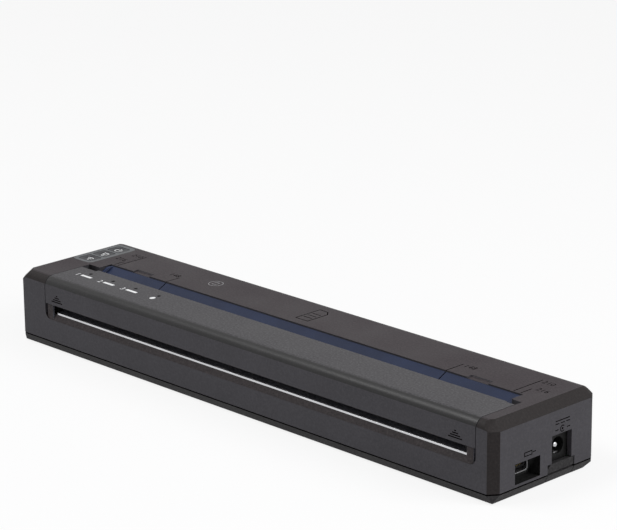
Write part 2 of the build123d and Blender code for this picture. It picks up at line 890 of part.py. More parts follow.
platen_centre = (platen_y, platen_z)
idler_centre = next_centre(platen_centre, gear_pitch(platen_teeth + idler_teeth), idler_angle)
compound_centre = next_centre(idler_centre, gear_pitch(idler_teeth + compound_small_teeth), compound_angle)
motor_centre = next_centre(compound_centre, gear_pitch(compound_large_teeth + pinion_teeth), motor_angle)
near_gears = (left_frame_x - 0.8 - gear_width, left_frame_x - 0.8)
far_gears = (near_gears[0] - 0.4 - gear_width, near_gears[0] - 0.4)


def meshing_phase(phase, teeth, next_teeth, angle):
    """Angle of one tooth of the next gear, so that it meshes with this one."""
    lead = phase - angle
    return angle + 180 - lead * teeth / next_teeth + 180 / next_teeth


def involute(angle):
    """Involute of an angle in radians."""
    return math.tan(angle) - angle


def tooth_half_angle(radius, teeth):
    """Half of a tooth's width at a radius, in radians."""
    pitch = gear_pitch(teeth)
    pressure = math.radians(20)
    base = pitch * math.cos(pressure)
    at_pitch = (math.pi * gear_module / 2 - gear_backlash) / (2 * pitch)
    here = math.acos(min(1.0, base / radius))
    return at_pitch + involute(pressure) - involute(here)


def gear_outline(teeth, phase):
    """Outline of a spur gear in (y, z) about its own middle."""
    pitch = gear_pitch(teeth)
    radii = (pitch - 1.25 * gear_module, pitch - 0.6 * gear_module, pitch, pitch + 0.85 * gear_module)
    points = []
    for number in range(teeth):
        middle = math.radians(phase) + 2 * math.pi * number / teeth
        flank = [(radius, tooth_half_angle(radius, teeth)) for radius in radii]
        turns = [(radius, middle - half) for radius, half in flank]
        turns += [(radius, middle + half) for radius, half in reversed(flank)]
        points += [(radius * math.cos(turn), radius * math.sin(turn)) for radius, turn in turns]
    return points


def gear(centre, teeth, phase, x_span):
    """Spur gear on a shaft along X."""
    outline = [(y + centre[0], z + centre[1]) for y, z in gear_outline(teeth, phase)]
    return along_x(outline, x_span)


platen_phase = idler_angle
idler_phase = meshing_phase(platen_phase, platen_teeth, idler_teeth, idler_angle)
compound_small_phase = meshing_phase(idler_phase, idler_teeth, compound_small_teeth, compound_angle)
compound_large_phase = compound_small_phase
pinion_phase = meshing_phase(compound_large_phase, compound_large_teeth, pinion_teeth, motor_angle)


def make_platen_gear():
    """Gear on the left end of the platen."""
    disc = gear(platen_centre, platen_teeth, platen_phase, far_gears)
    disc += rod_x(3.2, (far_gears[1], near_gears[1] - 0.2), *platen_centre)
    return disc - rod_x(journal_radius, (x_left, x_right), *platen_centre)


def make_idler_gear():
    """Gear between the platen and the compound gear."""
    disc = gear(idler_centre, idler_teeth, idler_phase, far_gears)
    return disc - rod_x(post_radius + running_gap, (x_left, x_right), *idler_centre)


def make_compound_gear():
    """Large and small gear in one moulding."""
    pair = gear(compound_centre, compound_large_teeth, compound_large_phase, near_gears)
    pair += gear(compound_centre, compound_small_teeth, compound_small_phase,
                 (far_gears[0], near_gears[0] + 0.5))
    return pair - rod_x(post_radius + running_gap, (x_left, x_right), *compound_centre)


def make_motor_pinion():
    """Brass gear on the motor's shaft."""
    disc = gear(motor_centre, pinion_teeth, pinion_phase, near_gears)
    return disc - rod_x(motor_shaft_radius, (x_left, x_right), *motor_centre)


def make_motor_shaft():
    """Shaft of the stepper motor."""
    return rod_x(motor_shaft_radius, (near_gears[0] - 0.6, left_frame_x + frame_sheet + motor_length - 2),
                 *motor_centre)


def make_motor():
    """Can of the stepper motor, with its flange on the side frame."""
    x_low = left_frame_x + frame_sheet
    can = rod_x(motor_radius, (x_low, x_low + motor_length), *motor_centre)
    can += rod_x(motor_radius + 0.4, (x_low + motor_length * 0.46, x_low + motor_length * 0.54), *motor_centre)
    bore = rod_x(motor_shaft_radius + running_gap, (x_low - 1, x_low + motor_length - 1.5), *motor_centre)
    return can - bore


def make_gear_posts():
    """Two steel posts in the left frame, with a groove for a clip near each tip."""
    posts = []
    for centre in (idler_centre, compound_centre):
        post = rod_x(post_radius, (far_gears[0] - 1.3, left_frame_x + frame_sheet), *centre)
        groove = rod_x(post_radius + 1, (far_gears[0] - 0.8, far_gears[0] - 0.3), *centre)
        posts.append(post - (groove - rod_x(post_radius - 0.3, (far_gears[0] - 2, near_gears[1]), *centre)))
    return joined(posts)


def make_post_clips():
    """Open rings that keep the gears on their posts."""
    clips = []
    for y, z in (idler_centre, compound_centre):
        x_span = (far_gears[0] - 0.75, far_gears[0] - 0.35)
        ring = rod_x(2.0, x_span, y, z) - rod_x(post_radius - 0.28, (x_left, x_right), y, z)
        clips.append(ring - block((x_left, x_right), (y - 0.5, y + 0.5), (z - 3, z)))
    return joined(clips)


def platen_rubber_span():
    """X span of the platen's rubber."""
    return (media_left - platen_side_gap, media_right + platen_side_gap)


def make_platen_rubber():
    """Rubber sleeve that drives the paper."""
    sleeve = rod_x(platen_radius, platen_rubber_span(), *platen_centre)
    return sleeve - rod_x(shaft_core_radius, (x_left, x_right), *platen_centre)


def make_platen_shaft():
    """Steel shaft with a thinner journal at each end."""
    core = rod_x(shaft_core_radius, platen_rubber_span(), *platen_centre)
    return core + rod_x(journal_radius, (far_gears[0] - 0.4, right_frame_x + frame_sheet + 0.8), *platen_centre)


def bearing(x_span, flange_x):
    """Flanged bush in a side frame."""
    bush = rod_x(bearing_radius, x_span, *platen_centre)
    bush += rod_x(bearing_flange_radius, (flange_x, flange_x + bearing_flange), *platen_centre)
    return bush - rod_x(journal_radius + running_gap, (x_left, x_right), *platen_centre)


def make_left_bearing():
    """Bush on the gear side."""
    return bearing((left_frame_x - 0.3, left_frame_x + frame_sheet), left_frame_x + frame_sheet)


def make_right_bearing():
    """Bush on the connector side."""
    return bearing((right_frame_x, right_frame_x + frame_sheet + 0.5), right_frame_x - bearing_flange)


def frame_plate(outline, x_low):
    """Side frame with its bearing and hinge holes."""
    plate = along_x(outline, (x_low, x_low + frame_sheet))
    plate -= rod_x(bearing_radius + 0.02, (x_low - 1, x_low + 3), *platen_centre)
    return plate - rod_x(hinge_pin_radius, (x_low - 1, x_low + 3), hinge_y, hinge_z)


def frame_feet(x_span):
    """Bent feet that sit on the base's bosses."""
    return [block(x_span, (y - 2.2, y + 2.2), (frame_low, frame_low + frame_sheet))
            for y in frame_foot_ys]


def make_left_frame():
    """Plate that carries the motor, the gears, the platen and the hinge."""
    back = motor_centre[0] + motor_radius
    outline = [(platen_y - 5.3, frame_low), (platen_y - 5.3, platen_z + 5.5), (hinge_y - 2.6, deck_under - 5.5),
               (hinge_y - 2.6, frame_top), (hinge_y + 2.4, frame_top), (slot_rear - 1.0, 22.0), (back, 22.0),
               (back, lip_height + free_gap), (back - 1.6, lip_height + free_gap),
               (back - 1.6, case_bottom + free_gap), (pack_rear - 4.0, frame_low)]
    plate = frame_plate(outline, left_frame_x)
    for foot in frame_feet((left_frame_x, left_frame_x + 6.0)):
        plate += foot
    for centre in (idler_centre, compound_centre):
        plate -= rod_x(post_radius, (left_frame_x - 1, left_frame_x + 3), *centre)
    return plate - rod_x(2.4, (left_frame_x - 1, left_frame_x + 3), *motor_centre)


def make_right_frame():
    """Plate that carries the other end of the platen and of the hinge."""
    outline = [(platen_y - 5.3, frame_low), (platen_y - 5.3, platen_z + 5.5), (hinge_y - 2.6, deck_under - 5.5),
               (hinge_y - 2.6, frame_top), (hinge_y + 2.4, frame_top), (slot_rear + 0.4, 20.0),
               (slot_rear + 0.4, frame_low)]
    plate = frame_plate(outline, right_frame_x)
    for foot in frame_feet((right_frame_x - 5.0, right_frame_x + frame_sheet)):
        plate += foot
    return plate


# --- paper path ---------------------------------------------------------------------

def make_exit_sill():
    """Sloping lower lip of the exit slot, with a post at each end."""
    x_span = (cover_left, cover_right)
    bar_rear = bar_front + bar_depth
    outline = [(front + 0.1, slot_lower_edge), (bar_front, bar_low), (bar_rear, bar_low),
               (bar_rear, bar_low + bar_height - 0.1), (bar_rear + 2.6, exit_plate_top),
               (sill_rear, exit_plate_top), (sill_rear, bar_low - 1.4),
               (front + 3.4, bar_low - 1.4), (front + 2.4, slot_lower_edge)]
    sill = along_x(outline, x_span)
    for x_low in (cover_left + 0.9, cover_right - 0.9 - post_width):
        sill += block((x_low, x_low + post_width), (front + 0.3, front + 1.1),
                      (slot_lower_edge, cover_lower_edge - fit_gap))
    corners = block(x_span, (front - 1, rear), (slot_lower_edge, deck_top))
    corners = fillet(corners.edges().filter_by(Axis.Y).group_by(Axis.Z)[0], slot_corner_radius)
    sill &= corners
    for x_low, x_high in hook_spans():
        sill -= block((x_low - free_gap, x_high + free_gap),
                      (hook_front - 0.9, hook_front + 4.1), (0, deck_top))
    return sill


def make_tear_bar():
    """Bright steel strip in a step along the front of the sill."""
    x_low = hook_spans()[0][1] + free_gap
    x_high = hook_spans()[1][0] - free_gap
    return block((x_low, x_high), (bar_front, bar_front + bar_depth), (bar_low, bar_low + bar_height))


def guide_height(y):
    """Height of the sloping floor that the sheet slides down."""
    return deck_top - guide_drop - guide_slope * (slot_rear - deck_gap - y)


def make_feed_guide():
    """Blue channel behind the cover: a sloping floor with a wall at each side of the sheet."""
    back = slot_rear - deck_gap
    top = deck_top - guide_drop
    drop = guide_wall * math.sqrt(1 + guide_slope * guide_slope)
    bend_z = guide_height(guide_bend_y)
    lip = guide_throat_y + guide_wall
    floor = [(back, top), (guide_bend_y, bend_z), (guide_throat_y, guide_throat_z),
             (lip, guide_throat_z), (lip, guide_height(lip) - drop), (back, top - drop)]
    side = [(back, top), (back - guide_shoulder, top),
            (guide_bend_y, bend_z + guide_slope * guide_shoulder),
            (guide_bend_y, bend_z - drop / 2), (back, top - drop)]
    guide = along_x(floor, (guide_left, guide_right))
    for x_low in (guide_left, guide_right - guide_side_wall):
        guide += along_x(side, (x_low, x_low + guide_side_wall))
    return guide


def make_rear_guide():
    """Dark wall under the channel that turns the sheet to the platen."""
    face = guide_throat_y
    back = face + guide_wall
    shelf_gap = 0.1
    drop = guide_wall * math.sqrt(1 + guide_slope * guide_slope) + shelf_gap
    end = slot_rear - deck_gap
    lower = [(face, 22.0), (face, 18.5), (face - 0.5, 16.4), (platen_y + 5.9, platen_z + 3.0),
             (platen_y + 6.5, platen_z + 1.8), (face + 1.0, 15.6), (back, 18.2), (back, 22.0)]
    upper = [(face, 21.5), (face, guide_throat_z - shelf_gap), (back, guide_throat_z - shelf_gap),
             (back, guide_height(back) - drop), (end, guide_height(end) - drop),
             (end, guide_height(end) - drop - rib), (back, guide_height(back) - drop - 2 * rib),
             (back, 21.5)]
    guide = along_x(lower, (left_frame_x + frame_sheet, right_frame_x))
    return guide + along_x(upper, (guide_left, guide_right))


def make_paper_sensor():
    """Sensor behind the rear guide."""
    x = media_left + 110.0
    y = guide_throat_y + guide_wall + 0.1
    return block((x, x + 8.0), (y, y + 3.0), (18.6, 22.6))


# --- boards and connectors --------------------------------------------------------------

def make_main_board():
    """Board under the rear deck."""
    board = block((main_board_left, pack_right - 2), (pack_front + 0.7, rear - wall - 0.9),
                  (board_low, board_low + board_sheet))
    for x, y in board_screw_places():
        board -= rod_z(screw_radius + 0.1, x, y, (0, deck_top))
    return board


def make_board_parts():
    """Chips on the main board and tall parts beside the battery."""
    top = board_low + board_sheet
    parts = []
    for number, size in enumerate((9.0, 7.0, 11.0, 6.0, 8.0)):
        x = main_board_left + 24.0 + number * chip_pitch
        parts.append(block((x, x + size), (pack_front + 8.0, pack_front + 8.0 + size), (top, top + 1.1)))
    coil_right = pack_left - pack_gap - rib - fit_gap - board_part_gap
    coil_left = coil_right - coil_width
    coil_front = pack_front + 3.0
    parts.append(block((coil_left, coil_right), (coil_front, coil_front + coil_depth),
                       (board_low - coil_height, board_low)))
    x = coil_left - board_part_gap - capacitor_radius
    first_y = pack_front + board_margin + capacitor_radius
    for number in range(2):
        y = first_y + number * (2 * capacitor_radius + board_margin)
        parts.append(rod_z(capacitor_radius, x, y, (board_low - capacitor_height, board_low)))
    return joined(parts)


def port_board_post_places():
    """Posts under the connector board."""
    x = right_frame_x + frame_sheet + 2.6
    return [(x, front + 12.6), (x, tongue_rear + 2.2)]


def make_port_board():
    """Board that carries both connectors."""
    x_low = right_frame_x + frame_sheet + 0.8
    board = block((x_low, x_right - usb_recess_depth - rib - fit_gap), (front + 10.5, tongue_rear + 4.5),
                  (port_board_low, port_board_top))
    return board + block((x_right - dc_body_length - wall, x_right - wall - 0.6),
                         (slot_rear + 1.0, tongue_rear + 4.5), (port_board_low, port_board_top))


def make_usb_shell():
    """Folded steel shell of the USB socket."""
    x_span = (right_frame_x + frame_sheet + 1.2, x_right - usb_recess_depth + usb_stand_off)
    z_span = (port_board_top, port_board_top + usb_height)
    y_span = (usb_y - usb_width / 2, usb_y + usb_width / 2)
    shell = rounded(block(x_span, y_span, z_span), Axis.X, 1.0)
    skin = 0.4
    hollow = block((x_span[0] + 1.0, x_span[1] + 1), (y_span[0] + skin, y_span[1] - skin),
                   (z_span[0] + skin, z_span[1] - skin))
    return shell - rounded(hollow, Axis.X, 0.7)


def make_usb_tongue():
    """Plastic tongue with the contacts inside the USB socket."""
    x_low = right_frame_x + frame_sheet + 2.2
    z = usb_socket_z()
    return block((x_low, x_right - usb_recess_depth + usb_stand_off - 0.8), (usb_y - 2.6, usb_y + 2.6),
                 (z - 0.5, z + 0.5))


def make_dc_jack():
    """Moulded body of the power jack."""
    half = dc_width / 2 - 0.15
    x_high = x_right - wall - 0.1
    body = block((x_high - dc_body_length, x_high), (dc_y - half, dc_y + half), (port_board_top, dc_z + half))
    return body - rod_x(dc_bore_radius, (x_high - 9.5, x_high + 1), dc_y, dc_z)


def make_dc_pin():
    """Centre pin of the power jack."""
    x_high = x_right - wall - 0.1
    pin = rod_x(dc_pin_radius, (x_high - 9.5, x_high - 0.7), dc_y, dc_z)
    return chamfer(pin.edges().group_by(Axis.X)[-1], 0.3)


def make_dc_contact():
    """Spring strip in the floor of the jack's bore."""
    x_high = x_right - wall - 0.1
    strip = block((x_high - 9.3, x_high - 0.9), (dc_y - 1.1, dc_y + 1.1), (dc_z - 3.2, dc_z - 2.6))
    return strip & rod_x(dc_bore_radius, (x_high - 10, x_high), dc_y, dc_z)


# --- keys ----------------------------------------------------------------------------

def make_key_panel():
    """Grey frame round the three keys, flush with the deck."""
    panel = panel_block(0, deck_top - panel_sheet, deck_top)
    for y in key_places():
        panel -= key_block(y, fit_gap, 0, deck_top + 1)
    return panel


def make_key(y):
    """Key with a dished top, a flange under the deck and a stem."""
    top = deck_top - key_sink
    flange_top = deck_under - 0.1
    key = key_block(y, 0, flange_top - 0.8, top)
    key += block((panel_x - key_length_x / 2 - 0.6, panel_x + key_length_x / 2 + 0.6),
                 (y - key_length_y / 2 - 0.5, y + key_length_y / 2 + 0.5), (flange_top - 0.8, flange_top))
    key += rod_z(1.6, panel_x, y, (switch_top() + key_travel + 0.1, flange_top - 0.5))
    half = key_length_y / 2 - 0.4
    dish_radius = (half * half + key_dish * key_dish) / (2 * key_dish)
    return key - Pos(panel_x, y, top + dish_radius - key_dish) * Sphere(dish_radius)


def switch_top():
    """Height of the switches' plungers."""
    return key_board_low + key_board_sheet + 2.2


def make_key_board():
    """Board under the keys."""
    places = key_board_screw_places()
    board = block((x_left + wall + 1.3, panel_x + 4.4), (places[0] - 2, places[1] + 1.5),
                  (key_board_low, key_board_low + key_board_sheet))
    for y in places:
        board -= rod_z(screw_radius + 0.1, panel_x, y, (0, deck_top))
    return board


def make_key_switches():
    """One small switch under each key."""
    low = key_board_low + key_board_sheet
    switches = []
    for y in key_places():
        switches.append(block((panel_x - 2.2, panel_x + 2.2), (y - 2.2, y + 2.2), (low, low + 1.6))
                        + rod_z(1.1, panel_x, y, (low, switch_top())))
    return joined(switches)


def sub_parts():
    """Every node's name and shape."""
    key_names = ("wireless_key", "feed_key", "power_key")
    parts = {
        "upper_case": make_upper_case(),
        "base_tray": make_base(),
        "rubber_feet": make_feet(),
        "base_screws": make_base_screws(),
        "battery_door": make_battery_door(),
        "battery_pack": make_battery_pack(),
        "battery_cells": make_battery_cells(),
        "battery_contacts": make_battery_contacts(),
        "battery_terminals": make_battery_terminals(),
        "release_cover": make_release_cover(),
        "cover_hook_left": cover_hook(hook_spans()[0]),
        "cover_hook_right": cover_hook(hook_spans()[1]),
        "latch_springs": make_latch_springs(),
        "hinge_pins": make_hinge_pins(),
        "status_board": make_status_board(),
        "status_lights": make_status_lights(),
        "head_bracket": make_head_bracket(),
        "head_bracket_screws": make_bracket_screws(),
        "head_guide_pins": make_guide_pins(),
        "head_springs": make_head_springs(),
        "head_heat_sink": make_head_sink(),
        "print_head": make_head_substrate(),
        "head_driver_cover": make_driver_cover(),
        "platen_rubber": make_platen_rubber(),
        "platen_shaft": make_platen_shaft(),
        "platen_gear": make_platen_gear(),
        "platen_bearing_left": make_left_bearing(),
        "platen_bearing_right": make_right_bearing(),
        "left_side_frame": make_left_frame(),
        "right_side_frame": make_right_frame(),
        "gear_posts": make_gear_posts(),
        "gear_post_clips": make_post_clips(),
        "idler_gear": make_idler_gear(),
        "compound_gear": make_compound_gear(),
        "motor_pinion": make_motor_pinion(),
        "motor_shaft": make_motor_shaft(),
        "stepper_motor": make_motor(),
        "exit_sill": make_exit_sill(),
        "tear_bar": make_tear_bar(),
        "paper_feed_guide": make_feed_guide(),
        "rear_paper_guide": make_rear_guide(),
        "paper_sensor": make_paper_sensor(),
        "main_board": make_main_board(),
        "board_components": make_board_parts(),
        "board_screws": make_board_screws(),
        "port_board": make_port_board(),
        "usb_shell": make_usb_shell(),
        "usb_tongue": make_usb_tongue(),
        "dc_jack_body": make_dc_jack(),
        "dc_jack_pin": make_dc_pin(),
        "dc_jack_contact": make_dc_contact(),
        "key_panel": make_key_panel(),
        "key_board": make_key_board(),
        "key_switches": make_key_switches(),
    }
    for name, y in zip(key_names, key_places()):
        parts[name] = make_key(y)
    return parts


def main():
    os.makedirs("parts", exist_ok=True)
    print("length, depth, height to the deck:", length, depth, deck_top)
    for name, shape in sub_parts().items():
        export_step(shape, "parts/" + name + ".step")


main()
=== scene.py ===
"""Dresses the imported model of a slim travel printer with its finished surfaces."""
import json
import math

import bmesh
import bpy
from bpy.props import FloatProperty, FloatVectorProperty, PointerProperty
from mathutils import Matrix, Vector


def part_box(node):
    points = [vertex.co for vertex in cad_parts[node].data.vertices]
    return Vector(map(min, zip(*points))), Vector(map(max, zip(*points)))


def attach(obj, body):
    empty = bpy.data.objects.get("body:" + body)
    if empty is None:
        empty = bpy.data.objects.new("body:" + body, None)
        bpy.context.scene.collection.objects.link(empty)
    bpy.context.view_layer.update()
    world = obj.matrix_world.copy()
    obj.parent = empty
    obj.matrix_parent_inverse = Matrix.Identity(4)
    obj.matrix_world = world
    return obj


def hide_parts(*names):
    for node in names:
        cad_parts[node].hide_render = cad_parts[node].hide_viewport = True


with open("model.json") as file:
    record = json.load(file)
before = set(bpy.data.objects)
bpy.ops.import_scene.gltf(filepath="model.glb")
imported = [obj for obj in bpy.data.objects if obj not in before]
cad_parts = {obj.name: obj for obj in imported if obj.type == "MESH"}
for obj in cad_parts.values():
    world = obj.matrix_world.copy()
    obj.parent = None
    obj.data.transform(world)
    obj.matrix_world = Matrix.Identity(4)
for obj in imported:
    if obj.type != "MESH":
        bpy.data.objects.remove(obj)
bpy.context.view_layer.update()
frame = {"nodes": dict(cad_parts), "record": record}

bl_info = {
    "name": "Travel Printer",
    "version": (1, 0, 0),
    "blender": (4, 5, 0),
    "location": "View3D > Sidebar > Printer",
    "description": "Builds the finished surfaces of a portable sheet printer",
    "category": "Object",
}

MM = 0.001
BODY_OF = {node: body for body, nodes in frame["record"]["behaviour"]["bodies"].items() for node in nodes}


def low(node):
    """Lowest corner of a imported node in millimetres."""
    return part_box(node)[0] / MM


def high(node):
    """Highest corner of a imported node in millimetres."""
    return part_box(node)[1] / MM


# --- settings -------------------------------------------------------------------

def tint(name, description, colour):
    """Property for a surface colour."""
    return FloatVectorProperty(name=name, description=description, default=colour, size=3,
                               min=0.0, max=1.0, subtype="COLOR")


def length(name, description, millimetres):
    """Property for a size."""
    return FloatProperty(name=name, description=description, default=millimetres * MM,
                         min=0.0, precision=5, unit="LENGTH")


def amount(name, description, value):
    """Property for a share from 0 to 1."""
    return FloatProperty(name=name, description=description, default=value, min=0.0, max=1.0,
                         subtype="FACTOR")


class ShellSettings(bpy.types.PropertyGroup):
    """Plastic parts that show from outside."""
    softness: length("Edge softness", "Radius that the mould leaves on an outer edge", 0.16)
    fine_softness: length("Fine softness", "Radius on edges of small parts", 0.08)
    grain: length("Grain", "Size of the texture's bumps on the mouldings", 0.35)
    grain_depth: length("Grain depth", "Height of the texture's bumps", 0.02)
    case_colour: tint("Deck", "Warm charcoal of the deck", (0.034, 0.028, 0.031))
    # painted shade: the case's bevels and chamfers get a darker copy of the deck's plastic
    bevel_shade_colour: tint("Bevels", "Darker brown black of the case's bevels", (0.021, 0.018, 0.018))
    # painted light: upright walls get a lighter, cooler copy of the same plastic
    side_light_colour: tint("Sides", "Charcoal of the upright walls", (0.052, 0.050, 0.056))
    cover_colour: tint("Cover top", "Charcoal of the release cover's top", (0.055, 0.053, 0.057))
    # painted shade: the cover's round edge gets a much darker copy of the cover's plastic
    lip_shade_colour: tint("Cover edge", "Darker charcoal of the release cover's round edge",
                     (0.009, 0.0085, 0.009))
    base_colour: tint("Base", "Darker charcoal of the base", (0.026, 0.025, 0.026))
    guide_colour: tint("Paper guide", "Dark blue of the paper guide", (0.014, 0.021, 0.050))
    sill_colour: tint("Sill", "Brown black of the exit slot", (0.036, 0.031, 0.032))
    # painted highlight: the guide's rear edge gets a lighter copy of the guide's blue
    rim_highlight_colour: tint("Guide rim", "Lighter blue of the paper guide's rear edge", (0.055, 0.070, 0.115))
    # painted light: the plate is made lighter to make up for the shadow of the cover over it
    plate_light_colour: tint("Exit plate", "Blue grey of the plate behind the bright strip", (0.090, 0.090, 0.105))
    # black of the inner parts, also used as painted shade in the recess round the data socket
    inner_black_and_shade_colour: tint("Inner parts", "Black of the parts inside", (0.008, 0.008, 0.008))
    panel_colour: tint("Key panel", "Grey of the frame round the keys", (0.105, 0.110, 0.116))
    key_colour: tint("Keys", "Dark grey of the keys", (0.034, 0.034, 0.038))


class MarkSettings(bpy.types.PropertyGroup):
    """Moulded and printed marks."""
    line: length("Line width", "Width of an engraved line", 0.45)
    depth: length("Groove depth", "Depth of the engraved marks", 0.30)
    digit: length("Digit height", "Height of the engraved figures", 2.6)
    ink_line: length("Ink line", "Width of a printed line", 0.3)
    ink_layer: length("Ink layer", "Thickness of the printed marks", 0.01)
    groove_colour: tint("Groove", "Shaded bottom of the engraved marks", (0.006, 0.005, 0.005))
    ink_colour: tint("Ink", "White of the printed marks", (0.80, 0.81, 0.82))
    sign_colour: tint("Sign ink", "Grey of the sign printed on the deck", (0.26, 0.26, 0.27))


class MetalSettings(bpy.types.PropertyGroup):
    """Metals, boards and rubber."""
    strip_colour: tint("Bright strip", "Bar in the exit slot", (0.62, 0.62, 0.64))
    steel_colour: tint("Steel", "Shafts, pins and springs", (0.56, 0.56, 0.58))
    zinc_colour: tint("Plated sheet", "Side frames and brackets", (0.50, 0.51, 0.52))
    aluminium_colour: tint("Aluminium", "Bar on the back of the print head", (0.70, 0.70, 0.72))
    brass_colour: tint("Brass", "Motor pinion", (0.72, 0.52, 0.22))
    gold_colour: tint("Contacts", "Gilded contacts", (0.82, 0.62, 0.26))
    gear_colour: tint("Gears", "Natural moulding of the gears", (0.66, 0.64, 0.56))
    ceramic_colour: tint("Ceramic", "Plate of the print head", (0.74, 0.71, 0.64))
    board_colour: tint("Boards", "Solder mask", (0.012, 0.085, 0.035))
    rubber_colour: tint("Rubber", "Platen and feet", (0.022, 0.022, 0.023))


class StageSettings(bpy.types.PropertyGroup):
    """Floor, lamps and camera."""
    floor_colour: tint("Floor", "Plain pale floor", (0.86, 0.86, 0.87))
    sky: amount("Sky", "Strength of the light from all round", 0.30)
    key_power: FloatProperty(name="Key lamp", description="Power of the lamp over the front", default=8.5,
                             min=0.0, unit="POWER")
    side_power: FloatProperty(name="Side lamp", description="Power of the lamp at the right end", default=5.5,
                              min=0.0, unit="POWER")


# --- finishes -------------------------------------------------------------------

def new_finish(name):
    """A material with its shader and the coordinates that its patterns use."""
    material = bpy.data.materials.new(name)
    material.use_nodes = True
    tree = material.node_tree
    shader = tree.nodes["Principled BSDF"]
    place = tree.nodes.new("ShaderNodeTexCoord").outputs["Object"]
    return material, tree, shader, place


def grain_field(tree, place, size, detail=2.0, stretch=(1.0, 1.0, 1.0)):
    """Noise whose spots have a size in metres, drawn out along some axes."""
    if stretch != (1.0, 1.0, 1.0):
        mapping = tree.nodes.new("ShaderNodeMapping")
        mapping.inputs["Scale"].default_value = stretch
        tree.links.new(place, mapping.inputs["Vector"])
        place = mapping.outputs["Vector"]
    noise = tree.nodes.new("ShaderNodeTexNoise")
    noise.inputs["Scale"].default_value = 1.0 / size
    noise.inputs["Detail"].default_value = detail
    tree.links.new(place, noise.inputs["Vector"])
    return noise.outputs["Fac"]


def cell_field(tree, place, size, output="Distance"):
    """Cells of a size in metres: the distance from each middle, or a colour for each cell."""
    cells = tree.nodes.new("ShaderNodeTexVoronoi")
    cells.inputs["Scale"].default_value = 1.0 / size
    tree.links.new(place, cells.inputs["Vector"])
    return cells.outputs[output]


def remap(tree, field, start, end, low_value, high_value):
    """A field carried from one range of numbers to another."""
    change = tree.nodes.new("ShaderNodeMapRange")
    for name, value in (("From Min", start), ("From Max", end),
                        ("To Min", low_value), ("To Max", high_value)):
        change.inputs[name].default_value = value
    tree.links.new(field, change.inputs["Value"])
    return change.outputs["Result"]


def blend(tree, field, first, second):
    """Two colours, or a colour field and a colour, mixed by a field."""
    mix = tree.nodes.new("ShaderNodeMix")
    mix.data_type = "RGBA"
    tree.links.new(field, mix.inputs["Factor"])
    for socket, colour in ((mix.inputs["A"], first), (mix.inputs["B"], second)):
        if isinstance(colour, bpy.types.NodeSocket):
            tree.links.new(colour, socket)
        else:
            socket.default_value = (*colour, 1.0)
    return mix.outputs["Result"]


def raise_surface(tree, shader, *layers):
    """Bumps from fields, each with its height in metres."""
    normal = None
    for field, height in layers:
        bump = tree.nodes.new("ShaderNodeBump")
        bump.inputs["Distance"].default_value = height
        tree.links.new(field, bump.inputs["Height"])
        if normal is not None:
            tree.links.new(normal, bump.inputs["Normal"])
        normal = bump.outputs["Normal"]
    tree.links.new(normal, shader.inputs["Normal"])


def shaded(colour, share):
    """The colour made lighter or darker."""
    return tuple(min(1.0, part * share) for part in colour)


def moulded_plastic(name, colour, grain, depth, rough=(0.48, 0.60), mottle=0.06, gloss=0.10,
                    speckle=0.4):
    """Moulded plastic with the fine texture of its tool and a faint cloudiness."""
    material, tree, shader, place = new_finish(name)
    clouds = grain_field(tree, place, 0.022, 3.0)
    dust = grain_field(tree, place, grain * 2.2, 2.0)
    body = blend(tree, remap(tree, clouds, 0.35, 0.65, 0.0, 1.0),
                 shaded(colour, 1 - mottle), shaded(colour, 1 + mottle))
    body = blend(tree, remap(tree, dust, 0.52, 0.72, 0.0, speckle), body, shaded(colour, 2.4))
    body = blend(tree, remap(tree, dust, 0.48, 0.30, 0.0, speckle * 1.6), body, shaded(colour, 0.45))
    tree.links.new(body, shader.inputs["Base Color"])
    tree.links.new(remap(tree, clouds, 0.3, 0.7, rough[0], rough[1]), shader.inputs["Roughness"])
    shader.inputs["Specular IOR Level"].default_value = gloss
    raise_surface(tree, shader, (grain_field(tree, place, grain, 2.0), depth),
                  (cell_field(tree, place, grain * 1.7), depth * 0.5))
    return material


def speckled_plastic(name, colour, grain, depth):
    """Satin plastic with a fine sparkle in it."""
    material, tree, shader, place = new_finish(name)
    sparkle = remap(tree, cell_field(tree, place, 0.00045), 0.05, 0.20, 1.0, 0.0)
    shade = remap(tree, grain_field(tree, place, 0.018, 3.0), 0.35, 0.65, 0.0, 1.0)
    body = blend(tree, shade, shaded(colour, 0.85), shaded(colour, 1.15))
    tree.links.new(blend(tree, sparkle, body, shaded(colour, 2.6)), shader.inputs["Base Color"])
    tree.links.new(remap(tree, sparkle, 0.0, 1.0, 0.5, 0.3), shader.inputs["Roughness"])
    shader.inputs["Specular IOR Level"].default_value = 0.15
    raise_surface(tree, shader, (grain_field(tree, place, grain, 2.0), depth))
    return material


def drawn_metal(name, colour, rough, stretch, scratch=0.00004, size=0.0004):
    """Metal with fine marks along the way that it was drawn, turned or brushed."""
    material, tree, shader, place = new_finish(name)
    marks = grain_field(tree, place, size, 3.0, stretch)
    stain = grain_field(tree, place, 0.012, 3.0)
    body = blend(tree, remap(tree, marks, 0.3, 0.7, 0.0, 1.0), shaded(colour, 0.86), shaded(colour, 1.08))
    tree.links.new(blend(tree, remap(tree, stain, 0.5, 0.8, 0.0, 0.3), body, shaded(colour, 0.72)),
                   shader.inputs["Base Color"])
    tree.links.new(remap(tree, marks, 0.3, 0.7, rough * 0.8, rough * 1.25), shader.inputs["Roughness"])
    shader.inputs["Metallic"].default_value = 1.0
    raise_surface(tree, shader, (marks, scratch))
    return material


